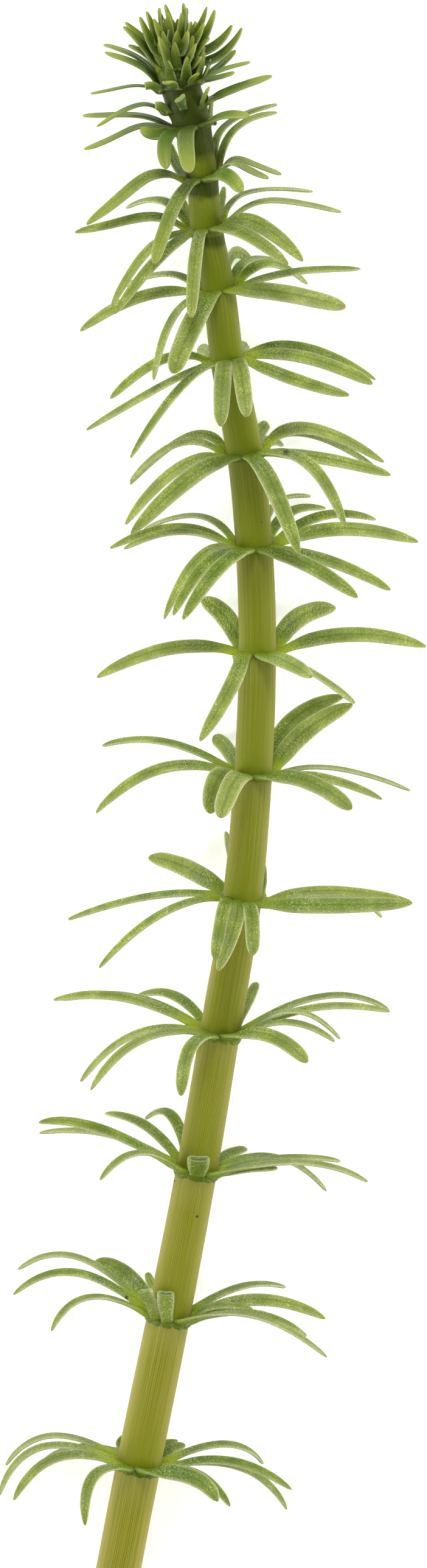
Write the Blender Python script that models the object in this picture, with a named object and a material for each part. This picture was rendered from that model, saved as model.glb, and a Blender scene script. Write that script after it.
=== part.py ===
"""A cut shoot of mare's tail, a water plant, lying on its side on a flat surface.

The shoot lies along +Y with its growing tip at the +Y end. The surface is z = 0, and the origin
is the middle of the shoot's footprint. Sizes below are in millimetres. The meshes are in metres.
"""

import math

import bmesh
import bpy
from mathutils import Vector

MM = 0.001

# The middle of the footprint, measured from the middle of the leafy length.
FOOTPRINT_MIDDLE = Vector((0.03, -2.6, 0.0))

# The stem's axis: x, y, height above the surface, and the stem's radius there.
CUT_END = (-11.67, -94.2, 2.45, 2.56)
JOINTS = (
    (-8.6, -78.2, 4.5, 2.56),
    (-5.14, -61.1, 6.2, 2.47),
    (-1.92, -44.3, 7.3, 2.36),
    (0.75, -28.5, 7.9, 2.30),
    (3.28, -13.2, 8.0, 2.24),
    (4.55, 1.2, 8.0, 2.18),
    (5.05, 15.2, 8.0, 2.14),
    (4.67, 27.3, 8.0, 2.13),
    (3.6, 38.0, 8.0, 2.06),
    (1.6, 48.8, 8.0, 1.95),
    (0.6, 56.8, 7.9, 1.86),
    (-0.8, 63.9, 7.6, 1.84),
    (-1.3, 69.7, 7.3, 1.75),
    (-2.45, 75.7, 7.0, 2.12),
    (-3.08, 77.9, 6.8, 2.32),
    (-3.8, 80.3, 6.6, 2.20),
)
STEM_TOP = (-4.0, 81.6, 6.5, 1.90)
BUD_BASE = Vector((-4.1, 81.9, 6.45))

# Every ring of leaves leans forward a little: its upper front edge is lower than its back edge.
RING_LEAN = math.radians(12)

STEM_SIDES = 12
WAIST_DEPTH = 0.42
WAIST_HALF = 0.66
SHOULDER_HALF = 0.95
SWELLING = 1.03

RING_GAP = 0.27
RING_WALL = 0.42
RING_HALF = 0.42

# How wide a leaf is along its length, as (share of the length, share of the width).
LONG_LEAF = ((0.22, 0.92), (0.5, 1.0), (0.8, 0.84), (1.0, 0.24))
BLUNT_LEAF = ((0.25, 0.95), (0.55, 1.0), (0.85, 0.9), (1.0, 0.45))
HIDDEN_LEAF = ((0.5, 0.95), (1.0, 0.28))
CUT_LEAF = ((0.5, 1.0), (1.0, 1.02))
BUD_LEAF = ((0.35, 1.0), (0.72, 0.85), (1.0, 0.2))
ROLL_FULL_AT = 0.22
THICKNESS = 0.6
THICKNESS_SHARE = 0.36
KEEL_SHARE = 0.62
NARROWEST = 1.6
BROADEST = 2.7
RESTING = 0.6

STEM_GREEN = (0.30, 0.31, 0.05, 1.0)
LEAF_GREEN = (0.13, 0.24, 0.04, 1.0)
TIP_GREEN = (0.10, 0.19, 0.03, 1.0)


def leaf(turn, mid, tip, breadth, shape=LONG_LEAF, sway=0.0, width=None):
    """One leaf, in millimetres from its joint's centre, with z up from the surface.

    turn is where it grows, in degrees round the stem from the top side towards +X. mid is the
    point half way along it and tip is its end. breadth is how broad it looks from above. sway
    bends its first half to one side and its second half to the other. width is its real width.
    """
    return {
        "turn": turn,
        "mid": Vector(mid),
        "tip": Vector(tip),
        "breadth": breadth,
        "width": width or min(max(breadth, NARROWEST), BROADEST),
        "shape": shape,
        "sway": sway,
    }


def hidden(turn, mid, tip, width=1.3):
    """A leaf underneath the stem, pressed down against the surface."""
    return leaf(turn, mid, tip, 0.0, HIDDEN_LEAF) | {"width": width}


def cut(turn, mid, tip, width):
    """The stump of a leaf that was cut off."""
    return leaf(turn, mid, tip, 0.0, CUT_LEAF) | {"width": width}


WHORL_01 = (
    leaf(8, (6.0, -1.3, 6.5), (9.1, -4.0, 10.5), 2.1),
    leaf(36, (6.4, -0.9, 4.5), (10.5, -4.7, 8.0), 1.4),
    leaf(64, (10.3, 0.35, 2.2), (17.6, -3.0, 2.8), 1.5),
    leaf(90, (11.6, -0.35, 0.2), (17.1, -5.4, 0.0), 1.3),
    leaf(116, (9.9, 2.15, -1.8), (14.4, -0.3, -3.9), 1.0),
    leaf(144, (3.7, 1.5, -3.0), (5.3, 1.9, -4.0), 1.4),
    hidden(172, (1.8, 1.8, -3.9), (4.5, 2.4, -4.2), 1.2),
    hidden(200, (-2.3, 1.6, -3.7), (-1.9, 3.0, -4.2), 1.1),
    hidden(228, (-6.8, 1.9, -2.4), (-11.2, 0.1, -4.1), 1.2),
    leaf(256, (-10.1, 3.2, -0.2), (-15.4, -0.3, -0.5), 0.9),
    leaf(283, (-11.4, 1.9, 2.0), (-16.1, -3.7, 2.2), 1.2),
    leaf(308, (-9.5, 0.8, 4.4), (-14.4, -4.1, 5.6), 1.6),
    leaf(336, (-5.25, -1.3, 8.0), (-6.1, -6.8, 11.0), 1.6),
)

WHORL_02 = (
    cut(0, (-0.35, 1.0, 3.1), (-0.35, 2.7, 3.9), 2.1),
    leaf(34, (9.7, 0.05, 4.0), (18.2, -4.75, 4.4), 1.0),
    leaf(60, (9.5, 0.35, 2.4), (15.9, -2.4, 2.6), 1.2),
    leaf(84, (5.2, 1.05, 0.8), (9.7, 0.65, 1.2), 1.2),
    leaf(106, (10.4, 1.75, -0.8), (18.05, -0.5, -1.2), 1.9),
    leaf(130, (8.3, 3.2, -3.0), (13.5, 3.0, -5.4), 1.0),
    hidden(154, (1.8, 2.2, -4.9), (2.1, 6.8, -5.9)),
    hidden(180, (0.1, 2.0, -5.0), (0.1, 6.4, -5.9)),
    hidden(206, (-2.0, 3.35, -4.8), (-2.5, 4.7, -5.8), 1.4),
    leaf(230, (-5.2, 4.7, -3.4), (-8.6, 5.95, -5.0), 2.4),
    leaf(254, (-10.5, 6.65, -1.4), (-17.4, 5.15, -2.0), 1.0),
    leaf(279, (-10.8, 4.95, 0.6), (-17.9, 2.35, 0.6), 1.3),
    leaf(305, (-9.2, 2.2, 3.4), (-13.5, -1.7, 5.0), 1.1),
    cut(332, (-2.0, 1.2, 2.7), (-2.75, 2.95, 3.3), 2.1),
)

WHORL_03 = (
    cut(4, (0.15, 0.3, 3.2), (0.2, 1.4, 4.3), 2.7),
    leaf(38, (11.75, 0.9, 3.2), (19.7, -1.4, 3.2), 1.0),
    leaf(63, (5.45, 0.0, 1.8), (9.3, 0.15, 2.0), 1.2),
    leaf(88, (6.15, 0.75, 0.2), (11.4, 0.9, -0.8), 1.0),
    leaf(112, (10.0, 1.3, -1.6), (16.6, 0.85, -2.8), 1.0),
    leaf(131, (9.3, 1.3, -3.6), (15.0, -2.7, -5.6), 0.9),
    leaf(152, (4.05, 1.8, -4.8), (5.7, 2.2, -6.9), 1.2),
    hidden(178, (0.6, 2.2, -5.9), (1.6, 7.0, -7.0)),
    leaf(205, (-2.95, 6.15, -5.4), (-6.0, 5.6, -6.9), 1.3),
    leaf(231, (-5.9, 4.95, -3.4), (-10.65, 6.3, -6.0), 1.4),
    leaf(256, (-10.2, 4.0, -1.4), (-18.2, 4.1, -2.4), 1.0),
    leaf(282, (-11.3, 4.75, 1.2), (-18.2, 5.4, 1.2), 1.6),
    leaf(314, (-6.8, 2.0, 4.2), (-11.1, -1.1, 6.0), 1.1),
)

WHORL_04 = (
    leaf(16, (5.6, -0.3, 6.2), (10.0, -3.4, 9.0), 2.0, BLUNT_LEAF),
    leaf(48, (7.7, 1.2, 3.0), (13.2, -1.05, 4.2), 1.1),
    leaf(72, (8.4, 2.45, 1.0), (13.85, -0.85, 0.6), 0.8),
    leaf(95, (10.8, 2.8, -0.8), (19.6, 2.3, -1.0), 1.2),
    leaf(118, (11.75, 4.1, -2.6), (19.5, 2.5, -3.4), 1.0),
    leaf(145, (3.4, 3.85, -5.2), (4.1, 5.55, -7.4), 1.4),
    hidden(172, (0.95, 2.4, -6.3), (1.55, 7.3, -7.6)),
    hidden(197, (-0.65, 2.2, -6.3), (-0.45, 6.8, -7.6)),
    leaf(222, (-5.4, 4.2, -4.4), (-9.7, 3.95, -7.0), 1.3),
    leaf(247, (-10.15, 4.0, -2.2), (-18.2, 3.6, -3.2), 1.3),
    leaf(270, (-10.9, 3.95, -0.2), (-19.2, 3.65, -0.4), 1.5),
    leaf(293, (-9.95, -0.25, 2.2), (-16.05, -5.7, 2.6), 1.2),
    leaf(315, (-9.25, -0.9, 4.2), (-14.85, -6.6, 5.0), 1.5),
    leaf(345, (-3.45, -1.75, 7.2), (-4.45, -7.2, 10.2), 1.8, BLUNT_LEAF),
)

WHORL_05 = (
    leaf(17, (1.1, -2.0, 8.2), (1.25, -6.4, 11.6), 1.9, BLUNT_LEAF),
    leaf(46, (10.55, -0.75, 3.6), (19.6, -0.45, 4.0), 2.4),
    leaf(70, (9.45, 0.9, 1.2), (19.5, -0.3, 1.4), 1.8),
    leaf(95, (11.9, 0.0, -1.2), (16.15, -2.2, -2.8), 0.8),
    hidden(130, (2.4, 2.6, -6.0), (1.9, 5.0, -7.6), 1.2),
    hidden(160, (0.8, 2.4, -6.3), (0.6, 8.0, -7.7)),
    leaf(190, (-1.0, 3.95, -6.1), (-1.85, 7.75, -7.5), 1.3),
    leaf(222, (-6.45, 3.55, -3.8), (-10.8, 4.75, -6.6), 2.4),
    leaf(255, (-10.65, 0.3, -1.0), (-20.1, -2.4, -1.4), 1.2),
    leaf(283, (-9.6, -1.85, 2.0), (-16.45, -7.95, 2.6), 1.3),
    leaf(318, (-2.3, -1.9, 7.4), (-3.15, -6.9, 10.6), 1.7, BLUNT_LEAF),
    leaf(347, (-0.9, -3.0, 7.6), (-2.8, -8.2, 10.8), 2.0),
)

WHORL_06 = (
    leaf(18, (6.0, -0.8, 5.2), (11.3, -4.15, 7.0), 2.4, BLUNT_LEAF),
    leaf(50, (8.0, -0.45, 2.8), (14.85, -2.95, 3.2), 1.5),
    leaf(80, (9.05, 0.7, 0.6), (18.15, -1.95, 0.6), 0.8),
    leaf(112, (5.8, 4.7, -3.0), (11.55, 8.0, -5.2), 2.7),
    leaf(140, (4.55, 6.1, -5.2), (10.5, 8.9, -7.0), 2.5),
    hidden(168, (0.55, 2.4, -6.3), (0.85, 8.0, -7.7)),
    hidden(196, (-0.75, 2.2, -6.3), (-0.75, 7.4, -7.7)),
    leaf(222, (-3.35, 3.3, -5.6), (-4.7, 4.05, -7.4), 1.9),
    leaf(250, (-10.2, 3.7, -1.6), (-17.4, 3.2, -2.6), 1.2),
    leaf(277, (-10.8, 0.55, 1.0), (-18.1, -4.55, 1.0), 1.8),
    leaf(312, (-4.3, -0.4, 7.0), (-5.25, -4.6, 10.2), 2.4, BLUNT_LEAF),
    leaf(341, (-2.4, -0.9, 8.0), (-4.1, -5.05, 11.6), 2.3, BLUNT_LEAF),
)

WHORL_07 = (
    leaf(22, (3.65, -1.35, 7.6), (6.2, -2.95, 12.0), 1.9),
    leaf(54, (6.65, -2.6, 4.2), (11.2, -5.95, 5.6), 1.1),
    leaf(88, (10.4, 2.0, 0.5), (19.4, 0.6, 0.5), 2.3),
    leaf(124, (4.8, 4.0, -4.2), (9.1, 5.1, -7.0), 2.5),
    hidden(156, (0.85, 2.3, -6.3), (0.45, 7.6, -7.7)),
    hidden(190, (-0.65, 2.1, -6.3), (-0.95, 7.0, -7.7)),
    leaf(226, (-3.7, 4.1, -4.8), (-6.5, 6.1, -7.2), 2.5),
    leaf(268, (-10.2, 0.4, 0.4), (-18.5, -2.95, 0.4), 2.1),
    leaf(314, (-3.0, -3.95, 6.0), (-6.65, -10.3, 7.2), 2.2),
)

WHORL_08 = (
    leaf(22, (6.1, -2.15, 5.4), (11.9, -5.95, 7.0), 2.3),
    leaf(54, (9.1, -1.85, 3.0), (15.7, -5.05, 3.4), 1.9),
    leaf(84, (9.95, 2.05, 1.0), (18.9, 0.5, 1.0), 2.2),
    leaf(112, (7.8, 3.6, -2.6), (14.1, 3.15, -4.4), 1.5),
    leaf(138, (4.0, 4.0, -5.2), (8.3, 4.5, -7.2), 1.4),
    leaf(160, (2.5, 5.1, -6.4), (6.6, 5.9, -7.6), 0.8),
    hidden(186, (-0.1, 2.2, -6.3), (-0.5, 8.0, -7.7)),
    hidden(212, (-1.4, 2.1, -6.2), (-1.8, 6.3, -7.7)),
    leaf(240, (-6.15, 3.6, -3.4), (-12.7, 2.1, -5.4), 0.9),
    leaf(263, (-8.8, 2.2, -0.6), (-16.6, -0.2, -0.6), 1.6),
    leaf(285, (-8.3, 1.75, 1.8), (-15.0, -0.3, 2.2), 1.2),
    leaf(306, (-6.2, -1.2, 4.4), (-10.35, -8.4, 5.6), 1.7),
    leaf(326, (-5.4, -1.95, 6.0), (-9.3, -8.0, 7.6), 1.8),
    leaf(347, (-4.0, -2.5, 7.6), (-8.2, -8.5, 9.6), 2.1),
)

WHORL_09 = (
    leaf(15, (3.0, -3.5, 7.0), (6.2, -11.7, 9.6), 2.5),
    leaf(44, (7.4, -1.3, 5.0), (11.5, -8.5, 6.2), 2.0),
    leaf(72, (9.65, -0.7, 2.0), (16.8, -2.5, 2.2), 1.95),
    leaf(100, (7.2, 3.0, -1.6), (16.1, -1.0, -2.4), 2.0),
    leaf(122, (6.85, 2.5, -3.8), (15.2, -1.55, -5.6), 1.3),
    leaf(143, (3.0, 1.6, -5.4), (4.45, 1.05, -7.5), 1.0),
    leaf(165, (1.85, 2.75, -6.2), (2.7, 3.65, -7.5), 1.4),
    hidden(189, (-0.5, 2.3, -6.3), (-1.1, 8.0, -7.7)),
    hidden(214, (-1.9, 2.0, -6.2), (-2.4, 5.8, -7.7)),
    leaf(240, (-6.25, 2.15, -2.8), (-13.3, -3.5, -4.6), 1.3),
    leaf(264, (-7.4, 1.3, -0.6), (-13.25, -3.2, -1.2), 1.2),
    leaf(291, (-7.7, -1.75, 2.2), (-13.75, -8.2, 2.6), 1.9),
    leaf(324, (-6.2, -2.8, 5.2), (-13.1, -9.4, 6.2), 2.6),
)

WHORL_10 = (
    leaf(28, (1.55, -1.7, 8.0), (2.2, -6.85, 12.2), 2.1, BLUNT_LEAF),
    leaf(60, (7.5, -2.3, 4.6), (14.05, -4.25, 6.2), 1.95),
    leaf(88, (8.8, 0.25, 1.6), (16.75, -2.85, 1.8), 1.95, BLUNT_LEAF),
    leaf(112, (8.6, 1.55, -1.2), (17.1, -2.3, -1.4), 1.5),
    leaf(138, (1.9, 1.65, -6.0), (2.35, 1.75, -7.5), 1.3),
    hidden(168, (0.2, 2.2, -6.3), (-0.3, 6.6, -7.7)),
    hidden(198, (-1.3, 2.1, -6.3), (-1.9, 5.8, -7.7)),
    leaf(228, (-2.7, 1.25, -5.2), (-3.45, 1.0, -7.4), 1.3),
    leaf(262, (-7.2, 0.15, 0.4), (-13.5, -4.5, 0.2), 1.5, BLUNT_LEAF),
    leaf(290, (-7.7, -3.15, 3.0), (-16.25, -8.2, 3.4), 1.25),
    leaf(318, (-5.6, -3.5, 5.4), (-11.15, -11.45, 6.8), 1.4),
    leaf(352, (-0.5, -1.9, 8.2), (-0.8, -7.95, 12.0), 2.15, BLUNT_LEAF),
)

WHORL_11 = (
    leaf(45, (7.0, -0.4, 4.2), (14.6, -2.1, 4.8), 2.6, BLUNT_LEAF),
    leaf(74, (8.1, 2.0, 1.2), (16.35, 2.4, 1.2), 1.3),
    leaf(100, (5.6, 3.2, -1.8), (10.3, 0.8, -4.6), 1.3),
    leaf(126, (3.2, 3.5, -4.0), (7.2, 3.5, -6.6), 1.0),
    leaf(156, (1.8, 4.5, -5.8), (4.3, 2.6, -7.4), 1.5),
    hidden(178, (0.1, 2.1, -6.1), (-0.1, 5.4, -7.6)),
    hidden(202, (-1.2, 1.9, -6.1), (-1.6, 5.0, -7.6)),
    hidden(226, (-2.3, 1.7, -5.9), (-2.7, 4.2, -7.5)),
    leaf(250, (-5.9, 2.0, -2.6), (-11.7, 0.2, -4.8), 1.0),
    leaf(277, (-8.9, -0.75, 1.0), (-16.0, -4.75, 1.0), 1.9),
    leaf(305, (-5.35, -3.35, 3.8), (-7.5, -10.45, 4.8), 1.3),
    leaf(336, (-3.0, -4.05, 6.0), (-5.3, -9.8, 8.2), 2.9, BLUNT_LEAF),
)

WHORL_12 = (
    leaf(28, (4.35, -0.75, 6.2), (9.4, -4.45, 9.0), 1.9, LONG_LEAF, 0.0),
    leaf(57, (5.5, 0.6, 4.0), (11.1, -3.95, 5.8), 2.3, LONG_LEAF, 0.0),
    leaf(88, (8.1, 3.25, 0.8), (15.55, 1.85, 0.4), 1.0, LONG_LEAF, 0.35),
    leaf(118, (4.75, 4.3, -2.4), (12.3, 4.4, -4.4), 0.7, LONG_LEAF, 0.1),
    hidden(142, (1.65, 2.7, -4.6), (2.0, 5.1, -7.2), 1.2),
    hidden(172, (0.0, 1.9, -5.6), (-0.2, 4.6, -7.3)),
    hidden(198, (-1.0, 1.8, -5.6), (-1.3, 4.4, -7.3)),
    hidden(221, (-2.2, 1.5, -4.8), (-2.9, 3.9, -7.1), 1.5),
    leaf(244, (-4.9, 3.3, -3.6), (-9.35, 2.6, -7.0), 1.1),
    leaf(267, (-8.1, 1.2, 0.0), (-15.2, -0.45, -0.2), 1.6, LONG_LEAF, -0.4),
    leaf(291, (-7.0, -2.85, 3.2), (-10.9, -9.1, 4.0), 1.5, LONG_LEAF, -0.15),
    leaf(315, (-5.55, -3.6, 5.2), (-10.55, -10.0, 6.2), 1.8),
    leaf(342, (-1.25, -3.4, 6.2), (-1.75, -10.55, 9.4), 1.85, BLUNT_LEAF),
)

WHORL_13 = (
    leaf(24, (2.65, 0.2, 6.2), (4.6, -1.9, 10.0), 1.85, BLUNT_LEAF),
    leaf(52, (4.4, 1.45, 3.2), (7.65, -0.2, 4.6), 1.15, LONG_LEAF, 0.45),
    leaf(76, (4.85, 2.1, 0.8), (9.15, 0.4, 0.6), 1.0, LONG_LEAF, 0.45),
    leaf(96, (3.55, 5.5, -1.0), (8.65, 7.65, -2.0), 1.2),
    leaf(116, (2.75, 6.3, -2.8), (8.7, 8.65, -4.2), 1.0, LONG_LEAF, 0.3),
    hidden(146, (1.0, 1.8, -4.8), (0.8, 4.0, -6.9)),
    hidden(178, (-0.1, 1.7, -5.0), (-0.4, 4.0, -7.0)),
    hidden(208, (-1.6, 2.2, -4.8), (-2.4, 4.6, -6.9), 1.5),
    hidden(240, (-3.1, 2.0, -3.4), (-3.85, 4.35, -5.4), 1.9),
    leaf(288, (-7.45, -0.6, 2.2), (-13.35, -5.45, 2.8), 1.9, LONG_LEAF, -0.5),
    leaf(325, (-3.25, -3.5, 5.4), (-5.55, -10.15, 7.8), 2.0, BLUNT_LEAF),
)

WHORL_14 = (
    leaf(40, (3.65, 1.1, 4.4), (6.6, 0.8, 7.6), 1.1),
    hidden(84, (2.1, 1.5, -0.4), (2.3, 2.9, -1.0), 1.1),
    hidden(120, (1.2, 1.4, -4.0), (0.9, 2.6, -6.4), 1.2),
    hidden(160, (-0.1, 1.2, -4.4), (-0.4, 2.2, -6.6), 1.2),
    hidden(205, (-1.3, 1.1, -4.2), (-1.8, 2.4, -6.5), 1.4),
    leaf(250, (-7.05, 1.4, -1.6), (-12.65, 1.3, -2.4), 0.9, LONG_LEAF, -0.2),
    leaf(277, (-7.45, -0.5, 0.6), (-12.45, -2.7, 0.6), 1.0, LONG_LEAF, -0.4),
    leaf(301, (-4.4, -1.0, 3.0), (-5.95, -0.5, 4.2), 1.6),
    leaf(322, (-3.1, -1.85, 5.0), (-2.95, -5.2, 7.4), 1.7, BLUNT_LEAF),
    leaf(351, (-0.75, -1.8, 5.6), (-0.3, -5.7, 9.0), 2.1, BLUNT_LEAF),
)

WHORL_15 = (
    hidden(45, (1.9, 0.8, 2.2), (2.6, 2.3, 2.6), 1.0),
    leaf(86, (5.4, 2.1, 0.4), (9.85, 3.6, 0.0), 1.4),
    hidden(140, (1.1, 0.9, -3.6), (1.0, 1.8, -6.0), 1.2),
    hidden(180, (-0.2, 0.8, -3.8), (-0.4, 1.5, -6.2), 1.2),
    hidden(222, (-1.8, 0.9, -3.4), (-2.3, 1.8, -6.0), 1.4),
    leaf(272, (-6.0, 0.15, 0.8), (-10.35, -2.3, 1.0), 0.8, LONG_LEAF, -0.15, 1.3),
    cut(305, (-2.7, -0.1, 1.6), (-3.45, -0.15, 1.9), 1.4),
    cut(350, (-0.5, 0.6, 2.8), (-0.85, 0.95, 3.9), 1.6),
)

WHORL_16 = (
    hidden(30, (1.3, 0.7, 2.4), (2.1, 1.4, 3.4), 1.0),
    leaf(62, (4.4, 1.7, 1.8), (8.05, 2.7, 2.4), 0.8, LONG_LEAF, 0.0, 1.3),
    leaf(90, (4.1, 1.0, -0.2), (6.25, 1.65, -0.8), 0.9, LONG_LEAF, 0.0, 1.3),
    leaf(118, (4.3, 2.3, -2.0), (6.35, 4.3, -3.0), 1.2, LONG_LEAF, 0.0, 1.5),
    hidden(150, (0.8, 0.9, -3.4), (0.8, 1.6, -5.8), 1.2),
    hidden(200, (-0.9, 0.9, -3.4), (-1.1, 1.6, -5.8), 1.3),
    leaf(232, (-5.2, 3.6, -1.8), (-8.9, 4.9, -2.6), 0.9, LONG_LEAF, -0.2, 1.3),
    leaf(252, (-4.8, 2.5, -0.6), (-8.75, 3.9, -1.0), 1.1, LONG_LEAF, -0.15, 1.4),
    leaf(273, (-6.2, 0.0, 0.4), (-10.4, -0.85, 0.4), 0.5, LONG_LEAF, -0.2, 1.2),
    cut(298, (-2.6, -0.15, 1.6), (-3.45, -0.35, 2.0), 1.5),
    hidden(338, (-1.1, 0.3, 2.9), (-1.9, 0.2, 4.4), 1.6),
)

WHORLS = (
    WHORL_01,
    WHORL_02,
    WHORL_03,
    WHORL_04,
    WHORL_05,
    WHORL_06,
    WHORL_07,
    WHORL_08,
    WHORL_09,
    WHORL_10,
    WHORL_11,
    WHORL_12,
    WHORL_13,
    WHORL_14,
    WHORL_15,
    WHORL_16,
)


def bud(turn, mid, tip, breadth):
    """One of the young leaves that stand up round the bud."""
    return leaf(turn, mid, tip, breadth, BUD_LEAF) | {"width": breadth * 1.15}


# The bud's three tiers of young leaves, each as (height, radius, leaves), from outside to inside.
BUD_TIERS = (
    (
        0.6,
        2.0,
        (
            bud(20, (1.3, 0.8, 3.0), (2.15, 1.35, 4.3), 1.1),
            bud(70, (2.3, 2.5, 1.6), (3.65, 3.9, 1.9), 1.0),
            bud(108, (5.1, 2.3, -0.9), (7.4, 5.2, -1.6), 1.4),
            bud(180, (0.0, 1.8, -3.4), (0.3, 3.6, -5.6), 1.6),
            bud(252, (-3.3, 1.9, -0.8), (-5.75, 3.2, -1.2), 1.2),
            bud(290, (-3.7, 2.75, 0.7), (-6.3, 5.25, 1.2), 1.3),
            bud(340, (-1.5, 1.1, 3.0), (-2.4, 2.8, 4.4), 1.5),
        ),
    ),
    (
        1.8,
        1.7,
        (
            bud(10, (0.7, 3.0, 2.4), (1.1, 4.6, 3.1), 1.3),
            bud(62, (3.0, 4.1, 1.2), (4.25, 7.15, 1.8), 1.3),
            bud(98, (4.05, 3.0, -0.5), (6.25, 5.5, -0.7), 1.4),
            bud(150, (1.4, 3.5, -2.4), (2.0, 6.0, -3.2), 1.4),
            bud(210, (-1.6, 3.4, -2.4), (-2.4, 5.8, -3.2), 1.4),
            bud(262, (-3.5, 3.4, -0.4), (-6.1, 5.8, -0.6), 1.3),
            bud(310, (-3.1, 3.5, 1.2), (-4.35, 6.35, 1.8), 1.3),
        ),
    ),
    (
        2.9,
        1.3,
        (
            bud(35, (2.0, 4.4, 1.0), (3.35, 7.55, 1.4), 1.0),
            bud(85, (1.5, 4.3, -0.2), (1.9, 6.2, -0.4), 1.2),
            bud(140, (0.8, 4.5, -1.2), (0.6, 8.1, -1.6), 1.3),
            bud(195, (-0.6, 4.5, -1.1), (-1.5, 7.9, -1.4), 1.5),
            bud(245, (-1.5, 4.3, -0.8), (-2.2, 7.2, -1.2), 1.2),
            bud(290, (-2.5, 4.1, 0.4), (-3.6, 7.05, 0.5), 1.3),
            bud(340, (-0.6, 4.4, 1.3), (-1.0, 6.4, 1.6), 1.5),
        ),
    ),
)
BUD_TIER_HALF = 0.4
BUD_APEX = 4.9


def place(x, y, z):
    return Vector((x, y, z)) - FOOTPRINT_MIDDLE


def joint_place(number):
    return place(*JOINTS[number][:3])


def stem_points():
    return [CUT_END, *JOINTS, STEM_TOP]


def along(number):
    """The direction of the stem at one of its points, towards the growing tip."""
    points = stem_points()
    before = Vector(points[max(number - 1, 0)][:3])
    after = Vector(points[min(number + 1, len(points) - 1)][:3])
    return (after - before).normalized()


def ring_axes(direction):
    """The front, right and upward axes of a ring of leaves on a stem that runs in this direction."""
    sky = Vector((0, 0, 1))
    front = (sky - direction * sky.dot(direction)).normalized()
    up = direction * math.cos(RING_LEAN) + front * math.sin(RING_LEAN)
    front = front * math.cos(RING_LEAN) - direction * math.sin(RING_LEAN)
    return front, up.cross(front), up


def blend(a, b, share):
    return a + (b - a) * share


def bend(a, b, c, d, share):
    """A Catmull-Rom curve from b to c."""
    squared = share * share
    cubed = squared * share
    return 0.5 * (
        2 * b
        + (c - a) * share
        + (2 * a - 5 * b + 4 * c - d) * squared
        + (3 * b - a - 3 * c + d) * cubed
    )


def stem_at(number, share):
    """The centre and radius of the stem between one of its points and the next."""
    points = stem_points()
    picks = [points[min(max(number + step, 0), len(points) - 1)] for step in (-1, 0, 1, 2)]
    centre = bend(*[Vector(p[:3]) for p in picks], share)
    return centre - FOOTPRINT_MIDDLE, blend(picks[1][3], picks[2][3], share)


def curve_point(course, share):
    """A parabola that passes its middle point half way along, with a sideways sway."""
    start, middle, end, sway = course
    handle = middle * 2 - (start + end) / 2
    across = Vector((start.y - end.y, end.x - start.x, 0)).normalized()
    swing = across * (sway * math.sin(math.tau * share))
    return start.lerp(handle, share).lerp(handle.lerp(end, share), share) + swing


def curve_direction(course, share):
    step = 0.02
    ahead = curve_point(course, min(share + step, 1.0))
    behind = curve_point(course, max(share - step, 0.0))
    return (ahead - behind).normalized()


def upright(side, direction):
    return (side - direction * side.dot(direction)).normalized()


def roll_of(spec, course, side):
    """How far a leaf rolls about its own length, so that it looks as broad as it should."""
    if spec["breadth"] == 0:
        return 0.0
    for share in (0.1, 0.2, 0.3, 0.4, 0.5, 0.6):
        direction = curve_direction(course, share)
        side = upright(side, direction)
    top = direction.cross(side)
    thick = min(THICKNESS, spec["width"] * THICKNESS_SHARE)
    shown = min(max((spec["breadth"] - thick * 0.7) / spec["width"], 0.0), 0.98)
    steepest = math.hypot(top.z, side.z)
    phase = math.atan2(side.z, top.z)
    swing = math.acos(min(shown / max(steepest, 0.001), 1.0))
    rolls = [math.remainder(turn - phase, math.tau) for turn in (swing, -swing)]
    return min(rolls, key=abs)


def leaf_sections(spec, joint, start, side):
    """The four corners of each of a leaf's sections: right edge, top, left edge, keel."""
    course = (start, joint + spec["mid"], joint + spec["tip"], spec["sway"])
    full_roll = roll_of(spec, course, side)
    sections = []
    for share, fullness in spec["shape"]:
        centre = curve_point(course, share)
        direction = curve_direction(course, share)
        side = upright(side, direction)
        top = direction.cross(side)
        roll = full_roll * min(share / ROLL_FULL_AT, 1.0)
        across = side * math.cos(roll) + top * math.sin(roll)
        upper = top * math.cos(roll) - side * math.sin(roll)
        width = spec["width"] * fullness
        thick = min(THICKNESS, width * THICKNESS_SHARE)
        offsets = (
            across * width / 2,
            upper * thick * (1 - KEEL_SHARE),
            across * -width / 2,
            upper * -thick * KEEL_SHARE,
        )
        lowest = min(offset.z for offset in offsets)
        if centre.z < max(RESTING, -lowest):
            centre.z = -lowest
        sections.append([centre + offset for offset in offsets])
    return sections


def grow_leaf(bm, base, sections):
    """Pulls a leaf out of one four-cornered face."""
    for section in sections:
        base = bmesh.ops.extrude_discrete_faces(bm, faces=[base])["faces"][0]
        for vert, point in zip(base.verts, section):
            vert.co = point * MM


def circle_points(centre, axes, radius, height, turns):
    front, right, up = axes
    points = []
    for turn in turns:
        angle = math.radians(turn)
        outward = front * math.cos(angle) + right * math.sin(angle)
        points.append(centre + outward * radius + up * height)
    return points


def add_points(bm, points):
    return [bm.verts.new(point * MM) for point in points]


def join_loops(bm, lower, upper):
    """A band of four-sided faces between two loops of the same number of corners."""
    count = len(lower)
    for i in range(count):
        j = (i + 1) % count
        bm.faces.new((lower[i], lower[j], upper[j], upper[i]))


def join_scallops(bm, scallops, plain):
    """A band between a loop that goes seam, leaf, seam, leaf and one with only the seams."""
    count = len(plain)
    for i in range(count):
        j = (i + 1) % count
        seam, middle, following = scallops[2 * i], scallops[2 * i + 1], scallops[2 * j]
        bm.faces.new((plain[i], middle, seam))
        bm.faces.new((plain[i], plain[j], middle))
        bm.faces.new((plain[j], following, middle))


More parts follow.
